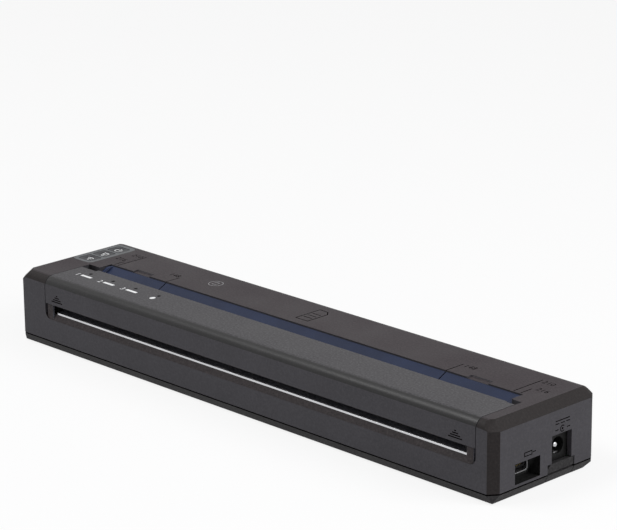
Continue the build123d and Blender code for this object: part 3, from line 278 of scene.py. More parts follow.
def plated_sheet(name, colour):
    """Zinc-plated sheet with its faint spangle."""
    material, tree, shader, place = new_finish(name)
    spangle = cell_field(tree, place, 0.0035, "Color")
    split = tree.nodes.new("ShaderNodeSeparateColor")
    tree.links.new(spangle, split.inputs["Color"])
    body = blend(tree, split.outputs["Red"], shaded(colour, 0.86), shaded(colour, 1.12))
    tree.links.new(body, shader.inputs["Base Color"])
    tree.links.new(remap(tree, split.outputs["Green"], 0.0, 1.0, 0.30, 0.46), shader.inputs["Roughness"])
    shader.inputs["Metallic"].default_value = 1.0
    raise_surface(tree, shader, (grain_field(tree, place, 0.0006, 3.0, (1.0, 1.0, 0.15)), 0.00003))
    return material


def ground_rubber(name, colour):
    """Black rubber ground to size, with a dull bloom."""
    material, tree, shader, place = new_finish(name)
    rings = grain_field(tree, place, 0.0005, 2.0, (1.0, 0.08, 0.08))
    bloom = grain_field(tree, place, 0.009, 4.0)
    tree.links.new(blend(tree, remap(tree, bloom, 0.4, 0.75, 0.0, 0.6), colour, shaded(colour, 2.0)),
                   shader.inputs["Base Color"])
    tree.links.new(remap(tree, rings, 0.3, 0.7, 0.62, 0.85), shader.inputs["Roughness"])
    shader.inputs["Specular IOR Level"].default_value = 0.3
    raise_surface(tree, shader, (rings, 0.00006))
    return material


def clear_mould(name, colour, rough, gloss=0.5, glow=0.15):
    """Natural or smoked plastic that lets a little light in."""
    material, tree, shader, place = new_finish(name)
    flow = grain_field(tree, place, 0.006, 3.0, (1.0, 1.0, 0.4))
    body = blend(tree, remap(tree, flow, 0.35, 0.65, 0.0, 1.0), shaded(colour, 0.92), shaded(colour, 1.05))
    tree.links.new(body, shader.inputs["Base Color"])
    tree.links.new(remap(tree, flow, 0.3, 0.7, rough * 0.85, rough * 1.15), shader.inputs["Roughness"])
    shader.inputs["Specular IOR Level"].default_value = gloss
    shader.inputs["Subsurface Weight"].default_value = glow
    shader.inputs["Subsurface Scale"].default_value = 0.001
    raise_surface(tree, shader, (flow, 0.00003))
    return material


def printed_board(name, colour):
    """Circuit board: solder mask with raised tracks and tinned pads."""
    material, tree, shader, place = new_finish(name)
    tracks = tree.nodes.new("ShaderNodeTexBrick")
    tracks.offset = 0.37
    for socket, value in (("Scale", 1.0 / 0.004), ("Mortar Size", 0.035), ("Brick Width", 1.7),
                          ("Row Height", 0.32)):
        tracks.inputs[socket].default_value = value
    tree.links.new(place, tracks.inputs["Vector"])
    pads = remap(tree, cell_field(tree, place, 0.0042), 0.12, 0.14, 1.0, 0.0)
    body = blend(tree, tracks.outputs["Fac"], colour, shaded(colour, 2.1))
    tree.links.new(blend(tree, pads, body, (0.55, 0.54, 0.50)), shader.inputs["Base Color"])
    tree.links.new(remap(tree, pads, 0.0, 1.0, 0.0, 0.9), shader.inputs["Metallic"])
    sheen = grain_field(tree, place, 0.002, 3.0)
    tree.links.new(remap(tree, sheen, 0.3, 0.7, 0.28, 0.42), shader.inputs["Roughness"])
    raise_surface(tree, shader, (tracks.outputs["Fac"], 0.00003), (pads, 0.00005))
    return material


def heater_ceramic(name, colour, line_y):
    """Glazed ceramic plate with the brown heater line and its fine leads."""
    material, tree, shader, place = new_finish(name)
    mapping = tree.nodes.new("ShaderNodeMapping")
    mapping.inputs["Location"].default_value = (0.0, -line_y * MM, 0.0)
    tree.links.new(place, mapping.inputs["Vector"])
    axes = tree.nodes.new("ShaderNodeSeparateXYZ")
    tree.links.new(mapping.outputs["Vector"], axes.inputs["Vector"])
    distance = tree.nodes.new("ShaderNodeMath")
    distance.operation = "ABSOLUTE"
    tree.links.new(axes.outputs["Y"], distance.inputs[0])
    line = remap(tree, distance.outputs["Value"], 0.0004, 0.0006, 1.0, 0.0)
    leads = tree.nodes.new("ShaderNodeTexWave")
    leads.inputs["Scale"].default_value = 1.0 / 0.0016
    tree.links.new(place, leads.inputs["Vector"])
    comb = remap(tree, leads.outputs["Fac"], 0.55, 0.65, 0.0, 0.55)
    body = blend(tree, comb, colour, (0.55, 0.42, 0.18))
    tree.links.new(blend(tree, line, body, (0.12, 0.06, 0.03)), shader.inputs["Base Color"])
    tree.links.new(remap(tree, leads.outputs["Fac"], 0.0, 1.0, 0.16, 0.28), shader.inputs["Roughness"])
    raise_surface(tree, shader, (line, 0.00005), (grain_field(tree, place, 0.0008), 0.00001))
    return material


def make_finishes(scene):
    """Every material of the printer, by name."""
    shell = scene.printer_shell
    marks = scene.printer_marks
    metal = scene.printer_metal
    grain, depth = shell.grain, shell.grain_depth
    moulded_plastic("case_plastic", shell.case_colour, grain, depth, speckle=0.3)
    # painted shade: darker copy of the case plastic for its bevels and chamfers
    moulded_plastic("bevel_painted_shade", shell.bevel_shade_colour, grain, depth, speckle=0.2)
    # painted light: lighter, cooler copy of the case plastic for the upright walls
    moulded_plastic("side_painted_light", shell.side_light_colour, grain, depth * 0.5, (0.44, 0.54), speckle=0.12)
    moulded_plastic("cover_plastic", shell.cover_colour, grain, depth * 0.8, (0.46, 0.56))
    # painted shade: darker copy of the cover plastic for its round edge and bevels
    moulded_plastic("lip_painted_shade", shell.lip_shade_colour, grain, depth * 0.6, (0.32, 0.40), gloss=0.28)
    # painted light: lightened plastic for the plate in the cover's shadow
    moulded_plastic("plate_painted_light", shell.plate_light_colour, grain, depth * 0.5, (0.40, 0.52))
    moulded_plastic("base_plastic", shell.base_colour, grain, depth * 1.2, (0.50, 0.62))
    moulded_plastic("sill_plastic", shell.sill_colour, grain * 1.1, depth * 1.5, (0.50, 0.62), speckle=0.35)
    # black of the inner parts, and painted shade in the case's socket recess
    moulded_plastic("black_inner_and_recess_shade", shell.inner_black_and_shade_colour, grain, depth, (0.42, 0.55))
    moulded_plastic("panel_plastic", shell.panel_colour, grain * 0.8, depth * 0.5, (0.40, 0.48), speckle=0.1)
    moulded_plastic("key_plastic", shell.key_colour, grain * 0.7, depth * 0.5, (0.38, 0.46), speckle=0.1)
    moulded_plastic("groove_shade", marks.groove_colour, grain, depth * 0.5, (0.6, 0.75), 0.2, 0.0)
    for name, colour in (("white_ink", marks.ink_colour), ("sign_ink", marks.sign_colour)):
        moulded_plastic(name, colour, grain * 0.4, depth * 0.2, (0.42, 0.55), 0.05, 0.3, 0.05)
    speckled_plastic("guide_plastic", shell.guide_colour, grain, depth * 0.6)
    # painted highlight on the guide's rear edge
    speckled_plastic("rim_painted_highlight", shell.rim_highlight_colour, grain, depth * 0.3)
    moulded_plastic("chip_plastic", (0.016, 0.016, 0.017), 0.00015, 0.00001, (0.45, 0.6))
    moulded_plastic("sleeve_film", (0.014, 0.015, 0.017), 0.002, 0.00003, (0.22, 0.34), 0.1, 0.5)
    moulded_plastic("cell_sleeve", (0.05, 0.12, 0.26), 0.002, 0.00002, (0.2, 0.32), 0.08, 0.5)
    drawn_metal("bright_strip", metal.strip_colour, 0.22, (0.04, 1.0, 1.0))
    drawn_metal("turned_steel", metal.steel_colour, 0.26, (1.0, 0.05, 0.05), 0.00003)
    drawn_metal("spring_steel", shaded(metal.steel_colour, 0.8), 0.3, (1.0, 1.0, 1.0), 0.00002)
    drawn_metal("screw_steel", shaded(metal.steel_colour, 0.55), 0.36, (1.0, 1.0, 0.2), 0.00003)
    drawn_metal("drawn_aluminium", metal.aluminium_colour, 0.34, (0.03, 1.0, 1.0), 0.00006)
    drawn_metal("turned_brass", metal.brass_colour, 0.26, (1.0, 0.1, 0.1), 0.00003)
    drawn_metal("gilt_contact", metal.gold_colour, 0.2, (1.0, 1.0, 0.1), 0.00002)
    drawn_metal("wound_copper", (0.66, 0.30, 0.14), 0.35, (0.06, 0.06, 1.0), 0.00012, 0.0005)
    plated_sheet("plated_sheet", metal.zinc_colour)
    ground_rubber("ground_rubber", metal.rubber_colour)
    clear_mould("gear_plastic", metal.gear_colour, 0.36)
    clear_mould("smoked_lens", (0.002, 0.002, 0.002), 0.5, 0.02, 0.0)
    printed_board("circuit_board", metal.board_colour)
    heater_line_y = (low("platen_rubber").y + high("platen_rubber").y) / 2
    heater_ceramic("head_ceramic", metal.ceramic_colour, heater_line_y)


def finish(name):
    """A finish that has been made, by name."""
    return bpy.data.materials[name]


# --- flat drawings, in millimetres ----------------------------------------------

def bar(drawing, start, end, width):
    """Straight stroke between two points."""
    run = Vector(end) - Vector(start)
    middle = (Vector(end) + Vector(start)) / 2
    place = (Matrix.Translation((middle.x, middle.y, 0)) @ Matrix.Rotation(math.atan2(run.y, run.x), 4, "Z")
             @ Matrix.Diagonal((run.length, width, 1, 1)))
    bmesh.ops.create_grid(drawing, x_segments=4, y_segments=1, size=0.5, matrix=place)


def arc(drawing, centre, radius, width, start, sweep):
    """Curved stroke about a centre, its angles in degrees."""
    around = Vector((math.cos(math.radians(start)), math.sin(math.radians(start)), 0))
    middle = Vector((*centre, 0))
    ends = [drawing.verts.new(middle + around * (radius + side * width / 2)) for side in (-1, 1)]
    edge = drawing.edges.new(ends)
    bmesh.ops.spin(drawing, geom=ends + [edge], cent=middle, axis=(0, 0, 1), dvec=(0, 0, 0),
                   angle=math.radians(sweep), steps=max(6, int(abs(sweep) / 12)), use_merge=sweep >= 360)


def disc(drawing, centre, width, height):
    """Filled ellipse."""
    place = Matrix.Translation((*centre, 0)) @ Matrix.Diagonal((width / 2, height / 2, 1, 1))
    bmesh.ops.create_circle(drawing, cap_ends=True, segments=24, radius=1.0, matrix=place)


def outline(drawing, corners, width):
    """Stroke that follows a closed outline on its inner side."""
    made = drawing.faces.new([drawing.verts.new((*corner, 0)) for corner in corners])
    made.normal_update()
    bmesh.ops.inset_region(drawing, faces=[made], thickness=width, use_even_offset=True,
                           use_boundary=True)
    bmesh.ops.delete(drawing, geom=[made], context="FACES_ONLY")


def figures(drawing, text, centre, height):
    """Plain figures, centred on a point."""
    curve = bpy.data.curves.new("figures", "FONT")
    curve.body = text
    curve.size = height / 0.7
    curve.align_x = "CENTER"
    curve.resolution_u = 3
    holder = bpy.data.objects.new("figures", curve)
    mesh = bpy.data.meshes.new_from_object(holder)
    mesh.transform(Matrix.Translation((centre[0], centre[1] - height / 2, 0)))
    drawing.from_mesh(mesh)
    bpy.data.objects.remove(holder)
    bpy.data.curves.remove(curve)
    bpy.data.meshes.remove(mesh)
    bmesh.ops.remove_doubles(drawing, verts=drawing.verts, dist=1e-5)


def thicken(drawing, bottom, top):
    """Turns a flat drawing into closed solids between two heights."""
    bmesh.ops.reverse_faces(drawing, faces=[face for face in drawing.faces if face.normal.z < 0])
    made = bmesh.ops.extrude_face_region(drawing, geom=drawing.faces[:])
    raised = [part for part in made["geom"] if isinstance(part, bmesh.types.BMVert)]
    for vert in drawing.verts:
        vert.co.z = bottom
    for vert in raised:
        vert.co.z = top
    bmesh.ops.recalc_face_normals(drawing, faces=drawing.faces)


def face_place(origin, across, up):
    """Matrix that lays a drawing in millimetres on a face of the printer."""
    across, up = Vector(across).normalized(), Vector(up).normalized()
    turn = Matrix((across, up, across.cross(up))).transposed().to_4x4()
    return Matrix.Translation(Vector(origin) * MM) @ turn @ Matrix.Scale(MM, 4)


# --- pieces ---------------------------------------------------------------------

def cad_copy(node):
    """A merged copy of a node's mesh with its flat faces joined."""
    work = bmesh.new()
    work.from_mesh(frame["nodes"][node].data)
    bmesh.ops.remove_doubles(work, verts=work.verts, dist=1e-6)
    bmesh.ops.dissolve_limit(work, angle_limit=math.radians(0.5), use_dissolve_boundaries=False,
                             verts=work.verts, edges=work.edges, delimit=set())
    return work


def soften(work, width, angle=28.0):
    """Rounds every outer edge that is sharper than the angle."""
    sharp = [edge for edge in work.edges
             if edge.is_manifold and edge.calc_face_angle_signed() > math.radians(angle)]
    bmesh.ops.bevel(work, geom=sharp, offset=width, offset_type="OFFSET", segments=2, profile=0.5,
                    affect="EDGES", clamp_overlap=True, material=-1)


def cutter_object(drawing, place, inside):
    """A hidden tool that carves a thickened drawing and lines the cut with a finish."""
    mesh = bpy.data.meshes.new("cutter")
    drawing.to_mesh(mesh)
    drawing.free()
    mesh.transform(place)
    mesh.materials.append(inside)
    tool = bpy.data.objects.new("cutter", mesh)
    bpy.context.scene.collection.objects.link(tool)
    return tool


def finish_piece(name, work, finish_name, body, stands_for=(), cutters=(), areas=()):
    """Makes the object of a piece, carves its marks and lets it ride on its body."""
    mesh = bpy.data.meshes.new(name)
    mesh.materials.append(finish(finish_name))
    for number, (area_finish, belongs) in enumerate(areas):
        mesh.materials.append(finish(area_finish))
        for face in work.faces:
            if belongs(face.normal, face.calc_center_median() / MM):
                face.material_index = number + 1
    work.to_mesh(mesh)
    work.free()
    piece = bpy.data.objects.new(name, mesh)
    bpy.context.scene.collection.objects.link(piece)
    for tool in cutters:
        cut = piece.modifiers.new("marks", "BOOLEAN")
        cut.operation = "DIFFERENCE"
        cut.solver = "EXACT"
        cut.material_mode = "TRANSFER"
        cut.object = tool
    if cutters:
        bpy.context.view_layer.update()
        settled = bpy.data.meshes.new_from_object(piece.evaluated_get(bpy.context.evaluated_depsgraph_get()))
        settled.name = name
        piece.modifiers.clear()
        piece.data = settled
        for tool in cutters:
            bpy.data.objects.remove(tool)
    piece.data.shade_smooth()
    piece.data.set_sharp_from_angle(angle=math.radians(50))
    shading = piece.modifiers.new("even_shading", "WEIGHTED_NORMAL")
    shading.keep_sharp = True
    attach(piece, body)
    if stands_for:
        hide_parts(*stands_for)
    return piece


def dress(node, name, finish_name, width, cutters=(), angle=28.0, areas=()):
    """A node's shape with softened edges, marks and areas of another finish, in place of the node."""
    work = cad_copy(node)
    soften(work, width, angle)
    work.normal_update()
    return finish_piece(name, work, finish_name, BODY_OF[node], (node,), cutters, areas)


# Face tests that pick which faces get the painted lit and shaded copies of a plastic.
def level(normal, centre):
    """Whether a face looks straight up."""
    return normal.z > 0.97


def upright(normal, centre):
    """Whether a face belongs to the walls that stand square on the desk."""
    return max(abs(normal.x), abs(normal.y)) > 0.97


def paint(node, finish_name):
    """Gives a node that keeps its own mesh a finish."""
    mesh = frame["nodes"][node].data
    mesh.materials.clear()
    mesh.materials.append(finish(finish_name))


def print_marks(name, drawing, place, body, layer, ink="white_ink"):
    """A printed mark that stands a hair above the face that carries it."""
    thicken(drawing, -0.02, layer / MM)
    drawing.transform(place)
    return finish_piece(name, drawing, ink, body)


class PieceOperator:
    """Shared options of the operators that build pieces."""
    bl_options = {"REGISTER", "UNDO"}


class PRINTER_OT_finishes(PieceOperator, bpy.types.Operator):
    """Make the materials of every part"""
    bl_idname = "printer.finishes"
    bl_label = "Finishes"

    def execute(self, context):
        make_finishes(context.scene)
        return {"FINISHED"}


def deck_place():
    """Where drawings lie on the deck."""
    return face_place((0, 0, high("upper_case").z), (1, 0, 0), (0, 1, 0))


def end_place():
    """Where drawings lie on the right end."""
    return face_place((high("upper_case").x, 0, 0), (0, 1, 0), (0, 0, 1))


def front_place():
    """Where drawings lie on the front."""
    return face_place((0, low("upper_case").y, 0), (1, 0, 0), (0, 0, 1))


def width_lines(drawing, line, digit):
    """Lines and figures on the deck that show where sheets of three widths lie."""
    for x, y_start, y_end, text, text_x, text_y in (
            (-101.7, 2.6, 18.0, "210", -105.2, 16.4), (-103.6, 2.6, 8.0, "216", -107.2, 9.6),
            (-71.5, 1.8, 9.0, "148", -75.2, 10.0), (78.5, 1.8, 11.0, "148", 82.6, 10.4),
            (109.9, 2.6, 18.0, "210", 113.9, 16.8), (113.1, 2.6, 8.4, "216", 117.2, 9.8)):
        bar(drawing, (x, y_start), (x, y_end), line)
        figures(drawing, text, (text_x, text_y), digit)


def sheet_sign(drawing, centre, line):
    """A sheet with a turned corner and lines of print."""
    x, y = centre
    outline(drawing, [(x - 3.4, y - 6.6), (x + 3.4, y - 6.6), (x + 3.4, y + 4.2), (x + 1.2, y + 6.6),
                      (x - 3.4, y + 6.6)], line)
    for step in range(3):
        bar(drawing, (x - 2.2, y - 3.2 + step * 2.4), (x + 2.2, y - 3.2 + step * 2.4), line)


class PRINTER_OT_case_shells(PieceOperator, bpy.types.Operator):
    """Build the upper case with its engraved marks, the base and the battery door"""
    bl_idname = "printer.case_shells"
    bl_label = "Case shells"

    def execute(self, context):
        shell, marks = context.scene.printer_shell, context.scene.printer_marks
        line, cut_depth = marks.line / MM, marks.depth / MM
        deck = bmesh.new()
        width_lines(deck, line, marks.digit / MM)
        sheet_sign(deck, (0.4, 12.6), line)
        thicken(deck, -cut_depth, 0.2)
        end = bmesh.new()
        self.port_signs(end, line)
        thicken(end, -cut_depth, 0.2)
        shade = finish("groove_shade")
        # painted light and shade: one plastic in several colours by the way a face looks; bevels painted
        # darker as shade, upright walls painted lighter as light, the recess round the data socket painted
        # black as shade
        dress("upper_case", "case_moulding", "bevel_painted_shade", shell.softness,
              [cutter_object(deck, deck_place(), shade), cutter_object(end, end_place(), shade)],
              areas=[("case_plastic", level), ("side_painted_light", upright),
                     ("black_inner_and_recess_shade", self.recess_shade_test())])
        # painted shade: the base's upward faces at the seam under the case get the groove's shade
        dress("base_tray", "base_moulding", "base_plastic", shell.softness * 1.6,
              areas=[("groove_shade", lambda normal, centre: 3.2 < centre.z < 4.2 and normal.z > 0.3)])
        grip = bmesh.new()
        first_rib_x, rib_pitch, rib_ends = 118.2, 1.3, (8.0, 15.0)
        for step in range(5):
            rib_x = first_rib_x + step * rib_pitch
            bar(grip, (rib_x, rib_ends[0]), (rib_x, rib_ends[1]), 0.5)
        thicken(grip, -0.1, 0.3)
        floor = face_place((0, 0, low("battery_door").z), (1, 0, 0), (0, -1, 0))
        grip.transform(Matrix.Scale(-1, 4, (0, 1, 0)))
        bmesh.ops.reverse_faces(grip, faces=grip.faces)
        dress("battery_door", "door_moulding", "base_plastic", shell.softness,
              [cutter_object(grip, floor, shade)])
        return {"FINISHED"}

    def recess_shade_test(self):
        """A test for the faces that line the recess round the data socket, which are painted black as shade.
        """
        first, last, end = low("usb_shell"), high("usb_shell"), high("upper_case").x

        def in_recess(normal, centre):
            return (first.x < centre.x < end - 0.05 and first.y - 3.0 < centre.y < last.y + 3.0
                    and first.z - 3.2 < centre.z < last.z + 3.2)

        return in_recess

    def port_signs(self, drawing, line):
        """Signs over the two sockets: a plug, a steady supply and the polarity of the pin."""
        thin = line * 0.85
        outline(drawing, [(-11.6, 13.9), (-7.4, 13.9), (-7.4, 15.6), (-11.6, 15.6)], thin)
        bar(drawing, (-7.2, 14.75), (-5.4, 14.75), thin)
        bar(drawing, (4.6, 22.5), (12.2, 22.5), thin)
        for step in range(3):
            bar(drawing, (4.6 + step * 2.8, 21.4), (6.6 + step * 2.8, 21.4), thin)
        arc(drawing, (8.35, 19.2), 1.1, thin, 40, 280)
        disc(drawing, (8.35, 19.2), 0.9, 0.9)
        bar(drawing, (4.4, 19.2), (6.2, 19.2), thin)
        bar(drawing, (10.6, 19.2), (12.3, 19.2), thin)


class PRINTER_OT_release_cover(PieceOperator, bpy.types.Operator):
    """Build the release cover with the striped arrows on its front"""
    bl_idname = "printer.release_cover"
    bl_label = "Release cover"

    def execute(self, context):
        shell, marks = context.scene.printer_shell, context.scene.printer_marks
        arrows = bmesh.new()
        line = marks.line / MM
        for x, z in ((-103.7, 20.9), (110.1, 20.9)):
            for step in range(4):
                half = 3.3 - step * 0.95
                bar(arrows, (x - half, z + step * 0.85), (x + half, z + step * 0.85), line)
        thicken(arrows, -marks.depth / MM, 0.2)
        # painted light and shade: the cover's round edge and bevels get a painted shade, its upright walls
        # the painted light of the case walls
        dress("release_cover", "cover_moulding", "lip_painted_shade", shell.softness,
              [cutter_object(arrows, front_place(), finish("groove_shade"))],
              areas=[("cover_plastic", level), ("side_painted_light", upright)])
        dress("status_lights", "status_lenses", "smoked_lens", shell.fine_softness)
        return {"FINISHED"}


class PRINTER_OT_feed_guide(PieceOperator, bpy.types.Operator):
    """Build the blue paper guide with the two lines for small sheets"""
    bl_idname = "printer.feed_guide"
    bl_label = "Paper feed guide"

    def execute(self, context):
        shell, marks = context.scene.printer_shell, context.scene.printer_marks
        top = high("paper_feed_guide")
        slope = face_place((0, top.y, top.z), (1, 0, 0), (0, 1, 0.49))
        lines = bmesh.new()
        for x in (-71.5, 78.5):
            bar(lines, (x, -7.4), (x, 0.3), marks.line / MM)
        thicken(lines, -marks.depth / MM, 0.2)
        # painted highlight: faces of the rear edge that look up and back get the lighter blue
        dress("paper_feed_guide", "guide_moulding", "guide_plastic", shell.softness * 2,
              [cutter_object(lines, slope, finish("groove_shade"))],
              areas=[("rim_painted_highlight", lambda normal, centre: normal.y > 0.1 and 0.2 < normal.z)])
        dress("rear_paper_guide", "guide_wall_moulding", "black_inner_and_recess_shade", shell.fine_softness)
        return {"FINISHED"}


class PRINTER_OT_exit_slot(PieceOperator, bpy.types.Operator):
    """Build the sill of the exit slot and its bright bar"""
    bl_idname = "printer.exit_slot"
    bl_label = "Exit slot"

    def execute(self, context):
        shell = context.scene.printer_shell
        bar_top = high("tear_bar").z
        # painted light: sill faces behind the bright bar get the lightened plate colour
        dress("exit_sill", "sill_moulding", "sill_plastic", shell.softness,
              areas=[("plate_painted_light", lambda normal, centre: centre.z > bar_top - 0.5 and normal.y < 0.5)])
        dress("tear_bar", "tear_strip", "bright_strip", shell.fine_softness)
        return {"FINISHED"}


class PRINTER_OT_keys(PieceOperator, bpy.types.Operator):
    """Build the key panel, the three keys and the signs on them"""
    bl_idname = "printer.keys"
    bl_label = "Keys"

    def execute(self, context):
        shell = context.scene.printer_shell
        marks = context.scene.printer_marks
        dress("key_panel", "panel_moulding", "panel_plastic", shell.fine_softness * 1.5)
        key_signs = (("wireless_key", self.wireless), ("feed_key", self.feed), ("power_key", self.power))
        for node, sign in key_signs:
            dress(node, node + "_cap", "key_plastic", shell.fine_softness * 1.5, angle=35.0)
            drawing = bmesh.new()
            sign(drawing, marks.ink_line / MM)
            self.lay_in_dish(drawing, node, marks.ink_layer / MM)
            finish_piece(node + "_sign", drawing, "white_ink", BODY_OF[node])
        return {"FINISHED"}

    def wireless(self, drawing, line):
        """A dot with two waves over it."""
        disc(drawing, (0, -1.2), 0.8, 0.8)
        for radius in (1.3, 2.3):
            arc(drawing, (0, -1.2), radius, line, 45, 90)

    def feed(self, drawing, line):
        """A sheet over an arrow."""
        outline(drawing, [(-1.3, -0.1), (1.3, -0.1), (1.3, 1.7), (-1.3, 1.7)], line)
        bar(drawing, (0, -0.4), (0, -1.5), line)
        bar(drawing, (-0.75, -0.95), (0, -1.7), line)
        bar(drawing, (0.75, -0.95), (0, -1.7), line)

    def power(self, drawing, line):
        """A broken ring with a bar."""
        arc(drawing, (0, -0.1), 1.5, line, 125, 290)
        bar(drawing, (0, 0.1), (0, 1.9), line)

    def lay_in_dish(self, drawing, node, layer):
        """Thickens a sign and bends it to the key's hollow."""
        first, last = low(node), high(node)
        half = (last.y - first.y) / 2 - 0.9
        hollow = 0.35
        radius = (half * half + hollow * hollow) / (2 * hollow)
        bmesh.ops.subdivide_edges(drawing, edges=drawing.edges, cuts=1)
        thicken(drawing, -0.03, layer)
        for vert in drawing.verts:
            vert.co.z += radius - math.sqrt(radius * radius - vert.co.xy.length_squared)
        middle = (first + last) / 2
        drawing.transform(face_place((middle.x, middle.y, last.z - hollow), (1, 0, 0), (0, 1, 0)))


class PRINTER_OT_printed_marks(PieceOperator, bpy.types.Operator):
    """Print the white marks by the status lights and on the deck"""
    bl_idname = "printer.printed_marks"
    bl_label = "Printed marks"

    def execute(self, context):
        marks = context.scene.printer_marks
        line = marks.ink_line / MM
        labels = bmesh.new()
        middle = (low("status_lights") + high("status_lights")) / 2
        first_x = low("status_lights").x + 0.75
        pitch = (high("status_lights").x - low("status_lights").x - 1.5) / 3
        for number in range(3):
            x = first_x + number * pitch
            figures(labels, str(number + 1), (x - 3.8, middle.y - 3.3), 2.5)
            bar(labels, (x - 1.8, middle.y - 3.3), (x + 4.2, middle.y - 3.3), 1.4)
        disc(labels, (first_x + 3 * pitch, middle.y - 3.3), 2.1, 2.6)
        print_marks("status_marks", labels, deck_place(), "cover", marks.ink_layer)
        sign = bmesh.new()
        arc(sign, (-55.6, 13.8), 2.9, line * 0.8, 0, 360)
        outline(sign, [(-56.6, 12.4), (-54.6, 12.4), (-54.6, 15.2), (-56.6, 15.2)], line * 0.7)
        print_marks("ring_sign", sign, deck_place(), "printer_frame", marks.ink_layer, "sign_ink")
        return {"FINISHED"}


class PRINTER_OT_sockets(PieceOperator, bpy.types.Operator):
    """Build the data socket and the power socket"""
    bl_idname = "printer.sockets"
    bl_label = "Sockets"

    def execute(self, context):
        fine = context.scene.printer_shell.fine_softness
        dress("usb_shell", "data_socket_shell", "screw_steel", fine)
        dress("usb_tongue", "data_socket_tongue", "black_inner_and_recess_shade", fine)
        contacts = bmesh.new()
        first, last = low("usb_tongue"), high("usb_tongue")
        for number in range(5):
            y = first.y + 0.9 + number * (last.y - first.y - 1.8) / 4
            bar(contacts, (first.x + 0.3, y), (last.x - 0.15, y), 0.45)
        thicken(contacts, -0.05, 0.08)
        contacts.transform(face_place((0, 0, last.z), (1, 0, 0), (0, 1, 0)))
        finish_piece("data_socket_contacts", contacts, "gilt_contact", BODY_OF["usb_tongue"])
        dress("dc_jack_body", "power_socket_body", "black_inner_and_recess_shade", fine * 1.5)
        dress("dc_jack_pin", "power_socket_pin", "turned_steel", fine)
        dress("dc_jack_contact", "power_socket_spring", "spring_steel", fine * 0.5)
        return {"FINISHED"}


class PRINTER_OT_print_head(PieceOperator, bpy.types.Operator):
    """Build the platen, the print head and what presses it down"""
    bl_idname = "printer.print_head"
    bl_label = "Platen and print head"

    def execute(self, context):
        fine = context.scene.printer_shell.fine_softness
        for node, name, finish_name, slot in (
                ("platen_rubber", "platen_sleeve", "ground_rubber", "rubber"),
                ("platen_shaft", "platen_axle", "turned_steel", "steel"),
                ("platen_bearing_left", "platen_bush_left", "gear_plastic", "gear"),
                ("platen_bearing_right", "platen_bush_right", "gear_plastic", "gear"),
                ("print_head", "head_plate", "head_ceramic", "ceramic"),
                ("head_heat_sink", "head_bar", "drawn_aluminium", "aluminium"),
                ("head_driver_cover", "driver_guard", "black_inner_and_recess_shade", "inner"),
                ("head_bracket", "head_beam", "plated_sheet", "steel"),
                ("head_guide_pins", "head_pins", "turned_steel", "steel")):
            dress(node, name, finish_name, fine)
        paint("head_springs", "spring_steel")
        return {"FINISHED"}


class PRINTER_OT_drive(PieceOperator, bpy.types.Operator):
    """Build the motor, the gears and the side frames"""
    bl_idname = "printer.drive"
    bl_label = "Drive and frames"

    def execute(self, context):
        fine = context.scene.printer_shell.fine_softness
        for node, name, finish_name, slot in (
                ("left_side_frame", "side_frame_left", "plated_sheet", "steel"),
                ("right_side_frame", "side_frame_right", "plated_sheet", "steel"),
                ("hinge_pins", "cover_pins", "turned_steel", "steel"),
                ("latch_springs", "latch_leaves", "spring_steel", "steel"),
                ("cover_hook_left", "latch_hook_left", "black_inner_and_recess_shade", "inner"),
                ("cover_hook_right", "latch_hook_right", "black_inner_and_recess_shade", "inner"),
                ("gear_posts", "gear_studs", "turned_steel", "steel"),
                ("gear_post_clips", "stud_clips", "spring_steel", "steel"),
                ("stepper_motor", "motor_can", "plated_sheet", "steel"),
                ("motor_shaft", "motor_axle", "turned_steel", "steel")):
            dress(node, name, finish_name, fine)
        for node, finish_name in (("platen_gear", "gear_plastic"), ("idler_gear", "gear_plastic"),
                                  ("compound_gear", "gear_plastic"), ("motor_pinion", "turned_brass")):
            dress(node, node + "_wheel", finish_name, fine * 0.5, angle=50.0)
        return {"FINISHED"}


class PRINTER_OT_electrics(PieceOperator, bpy.types.Operator):
    """Build the battery, the boards and what is on them"""
    bl_idname = "printer.electrics"
    bl_label = "Battery and boards"

    def execute(self, context):
        fine = context.scene.printer_shell.fine_softness
        for node, name, finish_name, slot in (
                ("battery_pack", "battery_sleeve", "sleeve_film", "chip"),
                ("battery_cells", "cell_row", "cell_sleeve", "cell"),
                ("battery_contacts", "battery_pads", "gilt_contact", "brass"),
                ("battery_terminals", "bay_terminals", "black_inner_and_recess_shade", "inner"),
                ("main_board", "logic_board", "circuit_board", "board"),
                ("port_board", "socket_board", "circuit_board", "board"),
                ("key_board", "switch_board", "circuit_board", "board"),
                ("status_board", "light_board", "circuit_board", "board"),
                ("board_components", "board_parts", "chip_plastic", "chip"),
                ("key_switches", "tact_switches", "chip_plastic", "chip"),
                ("paper_sensor", "sheet_sensor", "chip_plastic", "chip")):
            dress(node, name, finish_name, fine)
        return {"FINISHED"}


